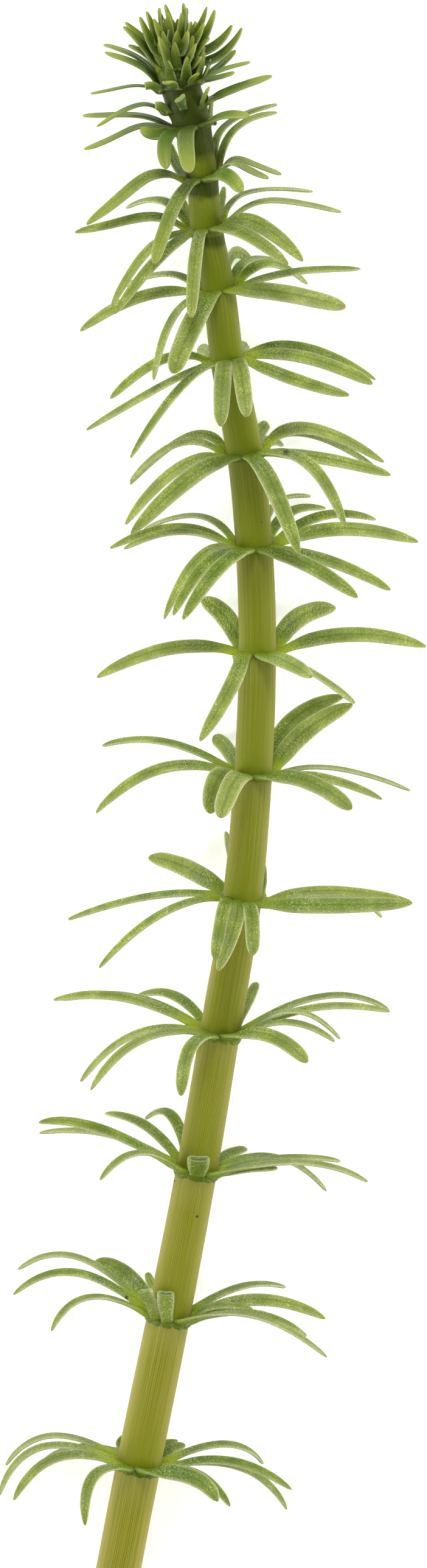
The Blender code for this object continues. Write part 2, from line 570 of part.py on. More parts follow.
def leaf_ring(bm, centre, axes, radius, half, leaves):
    """One ring of leaf bases: its lower and upper loops, and a face for each leaf to grow from."""
    turns = [spec["turn"] for spec in leaves]
    count = len(turns)
    between = []
    for i in range(count):
        before = turns[i - 1] - (360 if i == 0 else 0)
        between.append((before + turns[i]) / 2)
    seams = add_points(bm, circle_points(centre, axes, radius, 0, between))
    tops = add_points(bm, circle_points(centre, axes, radius, half, turns))
    bottoms = add_points(bm, circle_points(centre, axes, radius, -half, turns))
    lower = []
    upper = []
    bases = []
    for i in range(count):
        lower += [seams[i], bottoms[i]]
        upper += [seams[i], tops[i]]
        right = seams[(i + 1) % count]
        bases.append(bm.faces.new((right, tops[i], seams[i], bottoms[i])))
    return lower, upper, bases, between


def outward_at(axes, turn):
    front, right, _ = axes
    angle = math.radians(turn)
    return front * math.cos(angle) + right * math.sin(angle)


def grow_leaves(bm, joint, axes, radius, height, leaves, bases):
    up = axes[2]
    for spec, base in zip(leaves, bases):
        outward = outward_at(axes, spec["turn"])
        side = up.cross(outward)
        start = joint + outward * radius + up * height
        grow_leaf(bm, base, leaf_sections(spec, joint, start, side))


def whorl_mesh(number):
    """The ring of leaf bases round one joint of the stem, with its leaves."""
    bm = bmesh.new()
    joint = joint_place(number)
    axes = ring_axes(along(number + 1))
    bore = JOINTS[number][3] - WAIST_DEPTH + RING_GAP
    leaves = WHORLS[number]
    lower, upper, bases, seams = leaf_ring(
        bm, joint, axes, bore + RING_WALL, RING_HALF, leaves
    )
    inner_low = add_points(bm, circle_points(joint, axes, bore, -RING_HALF, seams))
    inner_high = add_points(bm, circle_points(joint, axes, bore, RING_HALF, seams))
    join_scallops(bm, lower, inner_low)
    join_scallops(bm, upper, inner_high)
    join_loops(bm, inner_high, inner_low)
    grow_leaves(bm, joint, axes, bore + RING_WALL, 0.0, leaves, bases)
    return bm


def cap(bm, loop, point):
    """Closes a loop with triangles that meet at one point."""
    peak = bm.verts.new(point * MM)
    for i, vert in enumerate(loop):
        bm.faces.new((vert, loop[(i + 1) % len(loop)], peak))


def bud_mesh():
    """The growing tip: a core with three tiers of leaf bases, its leaves and a pointed end."""
    bm = bmesh.new()
    centre = BUD_BASE - FOOTPRINT_MIDDLE
    axes = ring_axes(along(len(JOINTS)))
    up = axes[2]
    below = None
    for height, radius, leaves in BUD_TIERS:
        middle = centre + up * height
        lower, upper, bases, _ = leaf_ring(bm, middle, axes, radius, BUD_TIER_HALF, leaves)
        if below is None:
            cap(bm, lower[::-1], centre)
        else:
            join_loops(bm, below, lower)
        below = upper
        grow_leaves(bm, centre, axes, radius, height, leaves, bases)
    cap(bm, below, centre + up * BUD_APEX)
    return bm


def stem_sections():
    """The stem's rings from the cut end up, as (centre, direction, radius)."""
    sections = [(place(*CUT_END[:3]), along(0), CUT_END[3])]
    count = len(JOINTS)
    for number in range(count + 1):
        here = Vector(stem_points()[number][:3])
        there = Vector(stem_points()[number + 1][:3])
        length = (there - here).length
        shares = []
        if number > 0:
            shares.append((SHOULDER_HALF / length, 0.0, SWELLING))
        if length > 4:
            shares.append((0.5, 0.0, 1.0))
        if number < count:
            shares.append((1 - SHOULDER_HALF / length, 0.0, SWELLING))
            shares.append((1 - WAIST_HALF / length, WAIST_DEPTH, 1.0))
        for share, depth, swell in shares:
            centre, radius = stem_at(number, share)
            direction = along(number).lerp(along(number + 1), share).normalized()
            sections.append((centre, direction, radius * swell - depth))
        if number < count:
            following = Vector(stem_points()[number + 2][:3])
            centre, radius = stem_at(number + 1, WAIST_HALF / (following - there).length)
            sections.append((centre, along(number + 1), radius - WAIST_DEPTH))
    sections.append((place(*STEM_TOP[:3]), along(count + 1), STEM_TOP[3]))
    return sections


def stem_mesh():
    bm = bmesh.new()
    turns = [360 * side / STEM_SIDES for side in range(STEM_SIDES)]
    loops = []
    for centre, direction, radius in stem_sections():
        axes = ring_axes(direction)
        loops.append(add_points(bm, circle_points(centre, axes, radius, 0, turns)))
    for lower, upper in zip(loops, loops[1:]):
        join_loops(bm, lower, upper)
    bm.faces.new(loops[0][::-1])
    bm.faces.new(loops[-1])
    return bm


def plant_material(name, colour, roughness):
    material = bpy.data.materials.new(name)
    material.use_nodes = True
    shader = material.node_tree.nodes["Principled BSDF"]
    shader.inputs["Base Color"].default_value = colour
    shader.inputs["Roughness"].default_value = roughness
    shader.inputs["Metallic"].default_value = 0.0
    return material


def add_piece(collection, name, bm, material):
    bmesh.ops.recalc_face_normals(bm, faces=bm.faces)
    mesh = bpy.data.meshes.new(name)
    bm.to_mesh(mesh)
    bm.free()
    mesh.materials.append(material)
    mesh.shade_smooth()
    mesh.set_sharp_from_angle(angle=math.radians(50))
    piece = bpy.data.objects.new(name, mesh)
    collection.objects.link(piece)
    return piece


def main():
    for old in list(bpy.data.objects):
        bpy.data.objects.remove(old, do_unlink=True)
    collection = bpy.data.collections.new("mares_tail")
    bpy.context.scene.collection.children.link(collection)
    add_piece(collection, "stem", stem_mesh(), plant_material("stem", STEM_GREEN, 0.45))
    for number in range(len(WHORLS)):
        name = f"whorl_{number + 1:02d}"
        add_piece(collection, name, whorl_mesh(number), plant_material(name, LEAF_GREEN, 0.5))
    add_piece(collection, "growing_tip", bud_mesh(), plant_material("growing_tip", TIP_GREEN, 0.5))


main()
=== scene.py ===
"""The looks of a cut shoot of mare's tail, a water plant, lying on its side.

The stem, every ring of leaves and the growing tip are modelled again here, smooth and in detail,
each in the place of its solid. The lists below are in millimetres. The meshes are in metres.
"""

import math

import bmesh
import bpy
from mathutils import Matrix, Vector, noise

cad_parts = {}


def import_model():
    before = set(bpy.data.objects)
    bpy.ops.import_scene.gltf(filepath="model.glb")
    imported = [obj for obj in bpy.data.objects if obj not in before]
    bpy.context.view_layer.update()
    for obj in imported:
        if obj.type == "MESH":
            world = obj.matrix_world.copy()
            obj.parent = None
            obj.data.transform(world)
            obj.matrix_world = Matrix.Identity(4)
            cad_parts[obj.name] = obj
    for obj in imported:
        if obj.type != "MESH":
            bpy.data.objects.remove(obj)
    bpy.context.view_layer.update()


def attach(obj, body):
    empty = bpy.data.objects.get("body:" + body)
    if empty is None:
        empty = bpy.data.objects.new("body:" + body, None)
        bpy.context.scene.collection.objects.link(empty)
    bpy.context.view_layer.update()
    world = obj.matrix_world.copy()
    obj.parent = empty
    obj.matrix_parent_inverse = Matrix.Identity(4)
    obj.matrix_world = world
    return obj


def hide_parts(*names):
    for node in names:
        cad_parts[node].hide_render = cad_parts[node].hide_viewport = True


MM = 0.001

# The middle of the footprint, measured from the middle of the picture, as all lists below are.
FOOTPRINT_MIDDLE = Vector((0.03, -2.6, 0.0))

# The stem's axis: x, y, height above the surface, and the stem's radius there.
CUT_END = (-11.67, -94.2, 2.45, 2.56)
JOINTS = (
    (-8.6, -78.2, 4.5, 2.56),
    (-5.14, -61.1, 6.2, 2.47),
    (-1.92, -44.3, 7.3, 2.36),
    (0.75, -28.5, 7.9, 2.30),
    (3.28, -13.2, 8.0, 2.24),
    (4.55, 1.2, 8.0, 2.18),
    (5.05, 15.2, 8.0, 2.14),
    (4.67, 27.3, 8.0, 2.13),
    (3.6, 38.0, 8.0, 2.06),
    (1.6, 48.8, 8.0, 1.95),
    (0.6, 56.8, 7.9, 1.86),
    (-0.8, 63.9, 7.6, 1.84),
    (-1.3, 69.7, 7.3, 1.75),
    (-2.45, 75.7, 7.0, 2.12),
    (-3.08, 77.9, 6.8, 2.32),
    (-3.8, 80.3, 6.6, 2.20),
)
STEM_TOP = (-4.0, 81.6, 6.5, 1.90)
STEM_POINTS = (CUT_END, *JOINTS, STEM_TOP)
BUD_BASE = Vector((-4.1, 81.9, 6.45))

# Every ring of leaves leans forward a little: its upper front edge is lower than its back edge.
RING_LEAN = math.radians(12)

# How wide a leaf is along its length, as (share of the length, share of the width).
LONG = ((0.0, 0.74), (0.22, 0.94), (0.5, 1.0), (0.8, 0.86), (0.93, 0.6), (1.0, 0.3))
BLUNT = ((0.0, 0.74), (0.25, 0.95), (0.55, 1.0), (0.85, 0.92), (0.95, 0.74), (1.0, 0.45))
HIDDEN = ((0.0, 0.8), (0.3, 0.98), (0.72, 0.9), (0.93, 0.6), (1.0, 0.3))
YOUNG = ((0.0, 0.95), (0.3, 1.0), (0.6, 0.82), (0.85, 0.48), (1.0, 0.14))

# Where along a leaf its cross-sections stand. The first is inside the stem.
STATIONS = (-0.1, 0.0, 0.05, 0.1, 0.16, 0.24, 0.34, 0.44, 0.54, 0.64, 0.74, 0.83, 0.9, 0.95, 0.985, 1.0)
LEAF_SIDES = 12

# A leaf's surface: its thickness, the part of that below its middle, its furrow and its lumps.
THICKNESS = 0.6
THICKNESS_SHARE = 0.36
KEEL_SHARE = 0.55
GROOVE = 0.3
GROOVE_WIDTH = 0.28
WOBBLE = 0.05
LUMP_SEED = 1

# A leaf's width where it isn't given, and the share of its length at which it is fully rolled.
NARROWEST = 1.6
BROADEST = 2.7
ROLL_FULL_AT = 0.22

# A leaf's base: how far outside the stem it starts, how far inside its hidden root is as a share of
# the radius, how thick it is, and how broad compared with its place in the ring.
LEAF_START = 0.27
ROOT_DEPTH = 0.35
BASE_THICKNESS = 0.95
BASE_SPREAD = 1.38
WIDEST_BASE = 2.9
MOST_ROOM = 45

# A leaf's tip: where it starts, and how thick and how wide its end is.
TIP_START = 0.9
END_THICKNESS = 0.35
END_WIDTH = 0.25

# No leaf goes below the surface, and one that is this near to it rests on it.
RESTING = 0.6

# The stumps of cut leaves. Those that are wider than WIDE_STUMP have a hollow end.
WIDE_STUMP = 2.0
STUMP_THICKNESS = 1.15
THIN_STUMP = 0.62
STUMP_ROLL = math.radians(28)
STUMP_NECK = 0.7
RIM_WIDTH = 0.17
RIM_BEVEL = 0.05
HOLLOW_DEPTH = 0.6

# The lobe under a leaf's base: half its height, its depth and how far its middle hangs down, on
# the lowest rings and on the others, and how far outside the stem its middle is.
LOW_LOBE = (0.62, 0.33, 0.36)
LOBE = (0.42, 0.3, 0.16)
LOBE_START = 0.02
LOW_RINGS = 4
LOBED_RINGS = 12

# How dark the leaf bases are from the eleventh ring up to the sixteenth, and in the growing tip.
DUSK = (0.0, 0.25, 0.6, 1.0, 1.0, 1.0)
TIP_DUSK = 0.8

# The growing tip's young leaves, with the numbers that their tones are made from, and its core as
# (height, radius) from its base to its top.
TIER_TONES = 40
SHEATH_TONES = 50
WIDEST_BUD_BASE = 1.9
SHEATH_WIDTH = 1.45
SHEATH_BASE = 1.2
CORE = ((-0.6, 1.7), (0.2, 2.0), (1.2, 1.9), (2.2, 1.6), (3.2, 1.2), (4.2, 0.8), (4.9, 0.3))
CORE_SIDES = 24
CORE_FOLDS = 7

# The stem: its sides and the distance of its sections, its swelling at a joint, and its ribs, which
# start this far above a joint and are full further up.
STEM_SIDES = 96
STEM_STEP = 0.9
NODE_SWELLING = 0.16
NODE_REACH = 0.5
RIBS = 24
RIB_DEPTH = 0.02
RIB_START = (0.6, 3.0)
UNEVENNESS = 0.02
STEM_LENGTH = 180.0

# Stands for the distance to a joint where the stem has none in that direction.
FAR = 9.0

# Fine lines round the stem, three to a rib.
LINES = 72

# The picture is as long as 2576 pixels of 0.07 mm. The camera stands over its middle, this far above
# the height at which most of the stem runs.
PICTURE_LENGTH = 2576 * 0.07 * MM
CAMERA_HEIGHT = 2.0
STEM_HEIGHT = 8.0
SENSOR = 36


def leaf(turn, mid, tip, breadth, shape=LONG, sway=0.0, width=None):
    """One leaf, in millimetres from its joint's centre, with z up from the surface.

    turn is where it grows, in degrees round the stem from the top side towards +X. mid is the
    point half way along it and tip is its end. breadth is how broad it looks from above. sway
    bends its first half to one side and its second half to the other. width is its real width.
    """
    return {
        "turn": turn,
        "mid": Vector(mid),
        "tip": Vector(tip),
        "breadth": breadth,
        "width": width or min(max(breadth, NARROWEST), BROADEST),
        "shape": shape,
        "sway": sway,
        "cut": False,
    }


def hidden(turn, mid, tip, width=1.3):
    """A leaf underneath the stem, pressed down against the surface."""
    return leaf(turn, mid, tip, 0.0, HIDDEN, width=width)


def cut(turn, mid, tip, width):
    """The stump of a leaf that was cut off."""
    return leaf(turn, mid, tip, 0.0, width=width) | {"cut": True}


WHORL_01 = (
    leaf(8, (6.0, -1.3, 6.5), (9.1, -4.0, 10.5), 2.1),
    leaf(36, (6.4, -0.9, 4.5), (10.5, -4.7, 8.0), 1.4),
    leaf(64, (10.3, 0.35, 2.2), (17.6, -3.0, 2.8), 1.5),
    leaf(90, (11.6, -0.35, 0.2), (17.1, -5.4, 0.0), 1.3),
    leaf(116, (9.9, 2.15, -1.8), (14.4, -0.3, -3.9), 1.0),
    leaf(144, (3.7, 1.5, -3.0), (5.3, 1.9, -4.0), 1.4),
    hidden(172, (1.8, 1.8, -3.9), (4.5, 2.4, -4.2), 1.2),
    hidden(200, (-2.3, 1.6, -3.7), (-1.9, 3.0, -4.2), 1.1),
    hidden(228, (-6.8, 1.9, -2.4), (-11.2, 0.1, -4.1), 1.2),
    leaf(256, (-10.1, 3.2, -0.2), (-15.4, -0.3, -0.5), 0.9),
    leaf(283, (-11.4, 1.9, 2.0), (-16.1, -3.7, 2.2), 1.2),
    leaf(308, (-9.5, 0.8, 4.4), (-14.4, -4.1, 5.6), 1.6),
    leaf(336, (-5.25, -1.3, 8.0), (-6.1, -6.8, 11.0), 1.6),
)

WHORL_02 = (
    cut(0, (-0.35, 1.0, 3.1), (-0.35, 2.7, 3.9), 2.1),
    leaf(34, (9.7, 0.05, 4.0), (18.2, -4.75, 4.4), 1.0),
    leaf(60, (9.5, 0.35, 2.4), (15.9, -2.4, 2.6), 1.2),
    leaf(84, (5.2, 1.05, 0.8), (9.7, 0.65, 1.2), 1.2),
    leaf(106, (10.4, 1.75, -0.8), (18.05, -0.5, -1.2), 1.9),
    leaf(130, (8.3, 3.2, -3.0), (13.5, 3.0, -5.4), 1.0),
    hidden(154, (1.8, 2.2, -4.9), (2.1, 6.8, -5.9)),
    hidden(180, (0.1, 2.0, -5.0), (0.1, 6.4, -5.9)),
    hidden(206, (-2.0, 3.35, -4.8), (-2.5, 4.7, -5.8), 1.4),
    leaf(230, (-5.2, 4.7, -3.4), (-8.6, 5.95, -5.0), 2.4),
    leaf(254, (-10.5, 6.65, -1.4), (-17.4, 5.15, -2.0), 1.0),
    leaf(279, (-10.8, 4.95, 0.6), (-17.9, 2.35, 0.6), 1.3),
    leaf(305, (-9.2, 2.2, 3.4), (-13.5, -1.7, 5.0), 1.1),
    cut(332, (-2.0, 1.2, 2.7), (-2.75, 2.95, 3.3), 2.1),
)

WHORL_03 = (
    cut(4, (0.15, 0.3, 3.2), (0.2, 1.4, 4.3), 2.7),
    leaf(38, (11.75, 0.9, 3.2), (19.7, -1.4, 3.2), 1.0),
    leaf(63, (5.45, 0.0, 1.8), (9.3, 0.15, 2.0), 1.2),
    leaf(88, (6.15, 0.75, 0.2), (11.4, 0.9, -0.8), 1.0),
    leaf(112, (10.0, 1.3, -1.6), (16.6, 0.85, -2.8), 1.0),
    leaf(131, (9.3, 1.3, -3.6), (15.0, -2.7, -5.6), 0.9),
    leaf(152, (4.05, 1.8, -4.8), (5.7, 2.2, -6.9), 1.2),
    hidden(178, (0.6, 2.2, -5.9), (1.6, 7.0, -7.0)),
    leaf(205, (-2.95, 6.15, -5.4), (-6.0, 5.6, -6.9), 1.3),
    leaf(231, (-5.9, 4.95, -3.4), (-10.65, 6.3, -6.0), 1.4),
    leaf(256, (-10.2, 4.0, -1.4), (-18.2, 4.1, -2.4), 1.0),
    leaf(282, (-11.3, 4.75, 1.2), (-18.2, 5.4, 1.2), 1.6),
    leaf(314, (-6.8, 2.0, 4.2), (-11.1, -1.1, 6.0), 1.1),
)

WHORL_04 = (
    leaf(16, (5.6, -0.3, 6.2), (10.0, -3.4, 9.0), 2.0, BLUNT),
    leaf(48, (7.7, 1.2, 3.0), (13.2, -1.05, 4.2), 1.1),
    leaf(72, (8.4, 2.45, 1.0), (13.85, -0.85, 0.6), 0.8),
    leaf(95, (10.8, 2.8, -0.8), (19.6, 2.3, -1.0), 1.2),
    leaf(118, (11.75, 4.1, -2.6), (19.5, 2.5, -3.4), 1.0),
    leaf(145, (3.4, 3.85, -5.2), (4.1, 5.55, -7.4), 1.4),
    hidden(172, (0.95, 2.4, -6.3), (1.55, 7.3, -7.6)),
    hidden(197, (-0.65, 2.2, -6.3), (-0.45, 6.8, -7.6)),
    leaf(222, (-5.4, 4.2, -4.4), (-9.7, 3.95, -7.0), 1.3),
    leaf(247, (-10.15, 4.0, -2.2), (-18.2, 3.6, -3.2), 1.3),
    leaf(270, (-10.9, 3.95, -0.2), (-19.2, 3.65, -0.4), 1.5),
    leaf(293, (-9.95, -0.25, 2.2), (-16.05, -5.7, 2.6), 1.2),
    leaf(315, (-9.25, -0.9, 4.2), (-14.85, -6.6, 5.0), 1.5),
    leaf(345, (-3.45, -1.75, 7.2), (-4.45, -7.2, 10.2), 1.8, BLUNT),
)

WHORL_05 = (
    leaf(17, (1.1, -2.0, 8.2), (1.25, -6.4, 11.6), 1.9, BLUNT),
    leaf(46, (10.55, -0.75, 3.6), (19.6, -0.45, 4.0), 2.4),
    leaf(70, (9.45, 0.9, 1.2), (19.5, -0.3, 1.4), 1.8),
    leaf(95, (11.9, 0.0, -1.2), (16.15, -2.2, -2.8), 0.8),
    hidden(130, (2.4, 2.6, -6.0), (1.9, 5.0, -7.6), 1.2),
    hidden(160, (0.8, 2.4, -6.3), (0.6, 8.0, -7.7)),
    leaf(190, (-1.0, 3.95, -6.1), (-1.85, 7.75, -7.5), 1.3),
    leaf(222, (-6.45, 3.55, -3.8), (-10.8, 4.75, -6.6), 2.4),
    leaf(255, (-10.65, 0.3, -1.0), (-20.1, -2.4, -1.4), 1.2),
    leaf(283, (-9.6, -1.85, 2.0), (-16.45, -7.95, 2.6), 1.3),
    leaf(318, (-2.3, -1.9, 7.4), (-3.15, -6.9, 10.6), 1.7, BLUNT),
    leaf(347, (-0.9, -3.0, 7.6), (-2.8, -8.2, 10.8), 2.0),
)

WHORL_06 = (
    leaf(18, (6.0, -0.8, 5.2), (11.3, -4.15, 7.0), 2.4, BLUNT),
    leaf(50, (8.0, -0.45, 2.8), (14.85, -2.95, 3.2), 1.5),
    leaf(80, (9.05, 0.7, 0.6), (18.15, -1.95, 0.6), 0.8),
    leaf(112, (5.8, 4.7, -3.0), (11.55, 8.0, -5.2), 2.7),
    leaf(140, (4.55, 6.1, -5.2), (10.5, 8.9, -7.0), 2.5),
    hidden(168, (0.55, 2.4, -6.3), (0.85, 8.0, -7.7)),
    hidden(196, (-0.75, 2.2, -6.3), (-0.75, 7.4, -7.7)),
    leaf(222, (-3.35, 3.3, -5.6), (-4.7, 4.05, -7.4), 1.9),
    leaf(250, (-10.2, 3.7, -1.6), (-17.4, 3.2, -2.6), 1.2),
    leaf(277, (-10.8, 0.55, 1.0), (-18.1, -4.55, 1.0), 1.8),
    leaf(312, (-3.95, -0.45, 7.2), (-4.95, -4.6, 10.4), 3.2, BLUNT),
    leaf(341, (-2.2, -0.9, 8.0), (-3.85, -5.05, 11.6), 2.6, BLUNT),
)

WHORL_07 = (
    leaf(22, (3.65, -1.35, 7.6), (6.2, -2.95, 12.0), 1.9),
    leaf(54, (6.65, -2.6, 4.2), (11.2, -5.95, 5.6), 1.1),
    leaf(88, (10.4, 2.0, 0.5), (19.4, 0.6, 0.5), 2.3),
    leaf(124, (4.8, 4.0, -4.2), (9.1, 5.1, -7.0), 2.5),
    hidden(156, (0.85, 2.3, -6.3), (0.45, 7.6, -7.7)),
    hidden(190, (-0.65, 2.1, -6.3), (-0.95, 7.0, -7.7)),
    leaf(226, (-3.7, 4.1, -4.8), (-6.5, 6.1, -7.2), 2.5),
    leaf(268, (-10.2, 0.4, 0.4), (-18.5, -2.95, 0.4), 2.1),
    leaf(314, (-3.0, -3.95, 6.0), (-6.65, -10.3, 7.2), 2.2),
)

WHORL_08 = (
    leaf(22, (6.1, -2.15, 5.4), (11.9, -5.95, 7.0), 2.3),
    leaf(54, (9.1, -1.85, 3.0), (15.7, -5.05, 3.4), 1.9),
    leaf(84, (9.95, 2.05, 1.0), (18.9, 0.5, 1.0), 2.2),
    leaf(112, (7.8, 3.6, -2.6), (14.1, 3.15, -4.4), 1.5),
    leaf(138, (4.0, 4.0, -5.2), (8.3, 4.5, -7.2), 1.4),
    leaf(160, (2.5, 5.1, -6.4), (6.6, 5.9, -7.6), 0.8),
    hidden(186, (-0.1, 2.2, -6.3), (-0.5, 8.0, -7.7)),
    hidden(212, (-1.4, 2.1, -6.2), (-1.8, 6.3, -7.7)),
    leaf(240, (-6.15, 3.6, -3.4), (-12.7, 2.1, -5.4), 0.9),
    leaf(263, (-8.8, 2.2, -0.6), (-16.6, -0.2, -0.6), 1.6),
    leaf(285, (-8.3, 1.75, 1.8), (-15.0, -0.3, 2.2), 1.2),
    leaf(306, (-6.2, -1.2, 4.4), (-10.35, -8.4, 5.6), 1.7),
    leaf(326, (-5.4, -1.95, 6.0), (-9.3, -8.0, 7.6), 1.8),
    leaf(347, (-4.0, -2.5, 7.6), (-8.2, -8.5, 9.6), 2.1),
)

WHORL_09 = (
    leaf(15, (3.0, -3.5, 7.0), (6.2, -11.7, 9.6), 2.5),
    leaf(44, (7.4, -1.3, 5.0), (11.5, -8.5, 6.2), 2.0),
    leaf(72, (9.65, -0.7, 2.0), (16.8, -2.5, 2.2), 1.95),
    leaf(100, (7.2, 3.0, -1.6), (16.1, -1.0, -2.4), 2.0),
    leaf(122, (6.85, 2.5, -3.8), (15.2, -1.55, -5.6), 1.3),
    leaf(143, (3.0, 1.6, -5.4), (4.45, 1.05, -7.5), 1.0),
    leaf(165, (1.85, 2.75, -6.2), (2.7, 3.65, -7.5), 1.4),
    hidden(189, (-0.5, 2.3, -6.3), (-1.1, 8.0, -7.7)),
    hidden(214, (-1.9, 2.0, -6.2), (-2.4, 5.8, -7.7)),
    leaf(240, (-6.25, 2.15, -2.8), (-13.3, -3.5, -4.6), 1.3),
    leaf(264, (-7.4, 1.3, -0.6), (-13.25, -3.2, -1.2), 1.2),
    leaf(291, (-7.7, -1.75, 2.2), (-13.75, -8.2, 2.6), 1.9),
    leaf(324, (-6.2, -2.8, 5.2), (-13.1, -9.4, 6.2), 2.6),
)

WHORL_10 = (
    leaf(28, (1.55, -1.7, 8.0), (2.2, -6.85, 12.2), 2.1, BLUNT),
    leaf(60, (7.5, -2.3, 4.6), (14.05, -4.25, 6.2), 1.95),
    leaf(88, (8.8, 0.25, 1.6), (16.75, -2.85, 1.8), 1.95, BLUNT),
    leaf(112, (8.6, 1.55, -1.2), (17.1, -2.3, -1.4), 1.5),
    leaf(138, (1.9, 1.65, -6.0), (2.35, 1.75, -7.5), 1.3),
    hidden(168, (0.2, 2.2, -6.3), (-0.3, 6.6, -7.7)),
    hidden(198, (-1.3, 2.1, -6.3), (-1.9, 5.8, -7.7)),
    leaf(228, (-2.7, 1.25, -5.2), (-3.45, 1.0, -7.4), 1.3),
    leaf(262, (-7.2, 0.15, 0.4), (-13.5, -4.5, 0.2), 1.5, BLUNT),
    leaf(290, (-7.7, -3.15, 3.0), (-16.25, -8.2, 3.4), 1.25),
    leaf(318, (-5.6, -3.5, 5.4), (-11.15, -11.45, 6.8), 1.4),
    leaf(352, (-0.5, -1.9, 8.2), (-0.8, -7.95, 12.0), 2.15, BLUNT),
)

WHORL_11 = (
    leaf(45, (7.0, -0.4, 4.2), (14.6, -2.1, 4.8), 2.6, BLUNT),
    leaf(74, (8.1, 2.0, 1.2), (16.35, 2.4, 1.2), 1.3),
    leaf(100, (5.6, 3.2, -1.8), (10.3, 0.8, -4.6), 1.3),
    leaf(126, (3.2, 3.5, -4.0), (7.2, 3.5, -6.6), 1.0),
    leaf(156, (1.8, 4.5, -5.8), (4.3, 2.6, -7.4), 1.5),
    hidden(178, (0.1, 2.1, -6.1), (-0.1, 5.4, -7.6)),
    hidden(202, (-1.2, 1.9, -6.1), (-1.6, 5.0, -7.6)),
    hidden(226, (-2.3, 1.7, -5.9), (-2.7, 4.2, -7.5)),
    leaf(250, (-5.9, 2.0, -2.6), (-11.7, 0.2, -4.8), 1.0),
    leaf(277, (-8.9, -0.75, 1.0), (-16.0, -4.75, 1.0), 1.9),
    leaf(305, (-5.35, -3.35, 3.8), (-7.5, -10.45, 4.8), 1.3),
    leaf(336, (-3.0, -4.05, 6.0), (-5.3, -9.8, 8.2), 2.9, BLUNT),
)

WHORL_12 = (
    leaf(28, (4.35, -0.75, 6.2), (9.4, -4.45, 9.0), 1.9),
    leaf(57, (5.5, 0.6, 4.0), (11.1, -3.95, 5.8), 2.3),
    leaf(88, (8.1, 3.25, 0.8), (15.55, 1.85, 0.4), 1.0, sway=0.35),
    leaf(118, (4.75, 4.3, -2.4), (12.3, 4.4, -4.4), 0.7, sway=0.1),
    hidden(142, (1.65, 2.7, -4.6), (2.0, 5.1, -7.2), 1.2),
    hidden(172, (0.0, 1.9, -5.6), (-0.2, 4.6, -7.3)),
    hidden(198, (-1.0, 1.8, -5.6), (-1.3, 4.4, -7.3)),
    hidden(221, (-2.2, 1.5, -4.8), (-2.9, 3.9, -7.1), 1.5),
    leaf(244, (-4.9, 3.3, -3.6), (-9.35, 2.6, -7.0), 1.1),
    leaf(267, (-8.1, 1.2, 0.0), (-15.2, -0.45, -0.2), 1.6, sway=-0.4),
    leaf(291, (-7.0, -2.85, 3.2), (-10.9, -9.1, 4.0), 1.5, sway=-0.15),
    leaf(315, (-5.55, -3.6, 5.2), (-10.55, -10.0, 6.2), 1.8),
    leaf(342, (-1.25, -3.4, 6.2), (-1.75, -10.55, 9.4), 1.85, BLUNT),
)

WHORL_13 = (
    leaf(24, (2.65, 0.2, 6.2), (4.6, -1.9, 10.0), 1.85, BLUNT),
    leaf(52, (4.4, 1.45, 3.2), (7.65, -0.2, 4.6), 1.15, sway=0.45),
    leaf(76, (4.85, 2.1, 0.8), (9.15, 0.4, 0.6), 1.0, sway=0.45),
    leaf(96, (3.55, 5.5, -1.0), (8.65, 7.65, -2.0), 1.2),
    leaf(116, (2.75, 6.3, -2.8), (8.7, 8.65, -4.2), 1.0, sway=0.3),
    hidden(146, (1.0, 1.8, -4.8), (0.8, 4.0, -6.9)),
    hidden(178, (-0.1, 1.7, -5.0), (-0.4, 4.0, -7.0)),
    hidden(208, (-1.6, 2.2, -4.8), (-2.4, 4.6, -6.9), 1.5),
    hidden(240, (-3.1, 2.0, -3.4), (-3.85, 4.35, -5.4), 1.9),
    leaf(288, (-7.45, -0.6, 2.2), (-13.35, -5.45, 2.8), 1.9, sway=-0.5),
    leaf(325, (-3.25, -3.5, 5.4), (-5.55, -10.15, 7.8), 2.0, BLUNT),
)

WHORL_14 = (
    leaf(40, (3.65, 1.1, 4.4), (6.6, 0.8, 7.6), 1.1),
    hidden(84, (2.1, 1.5, -0.4), (2.3, 2.9, -1.0), 1.1),
    hidden(120, (1.2, 1.4, -4.0), (0.9, 2.6, -6.4), 1.2),
    hidden(160, (-0.1, 1.2, -4.4), (-0.4, 2.2, -6.6), 1.2),
    hidden(205, (-1.3, 1.1, -4.2), (-1.8, 2.4, -6.5), 1.4),
    leaf(250, (-7.05, 1.4, -1.6), (-12.65, 1.3, -2.4), 0.9, sway=-0.2),
    leaf(277, (-7.45, -0.5, 0.6), (-12.45, -2.7, 0.6), 1.0, sway=-0.4),
    leaf(301, (-4.4, -1.0, 3.0), (-5.95, -0.5, 4.2), 1.6),
    leaf(322, (-3.1, -1.85, 5.0), (-2.95, -5.2, 7.4), 1.7, BLUNT),
    leaf(351, (-0.75, -1.8, 5.6), (-0.3, -5.7, 9.0), 2.1, BLUNT),
)

WHORL_15 = (
    hidden(45, (1.9, 0.8, 2.2), (2.6, 2.3, 2.6), 1.0),
    leaf(86, (5.4, 2.1, 0.4), (9.85, 3.6, 0.0), 1.4),
    hidden(140, (1.1, 0.9, -3.6), (1.0, 1.8, -6.0), 1.2),
    hidden(180, (-0.2, 0.8, -3.8), (-0.4, 1.5, -6.2), 1.2),
    hidden(222, (-1.8, 0.9, -3.4), (-2.3, 1.8, -6.0), 1.4),
    leaf(272, (-6.0, 0.15, 0.8), (-10.35, -2.3, 1.0), 0.8, sway=-0.15, width=1.3),
    cut(305, (-2.75, 0.0, 1.5), (-3.6, 0.05, 1.7), 1.1),
    cut(350, (-0.7, 0.72, 3.0), (-0.78, 0.84, 3.9), 1.5),
)

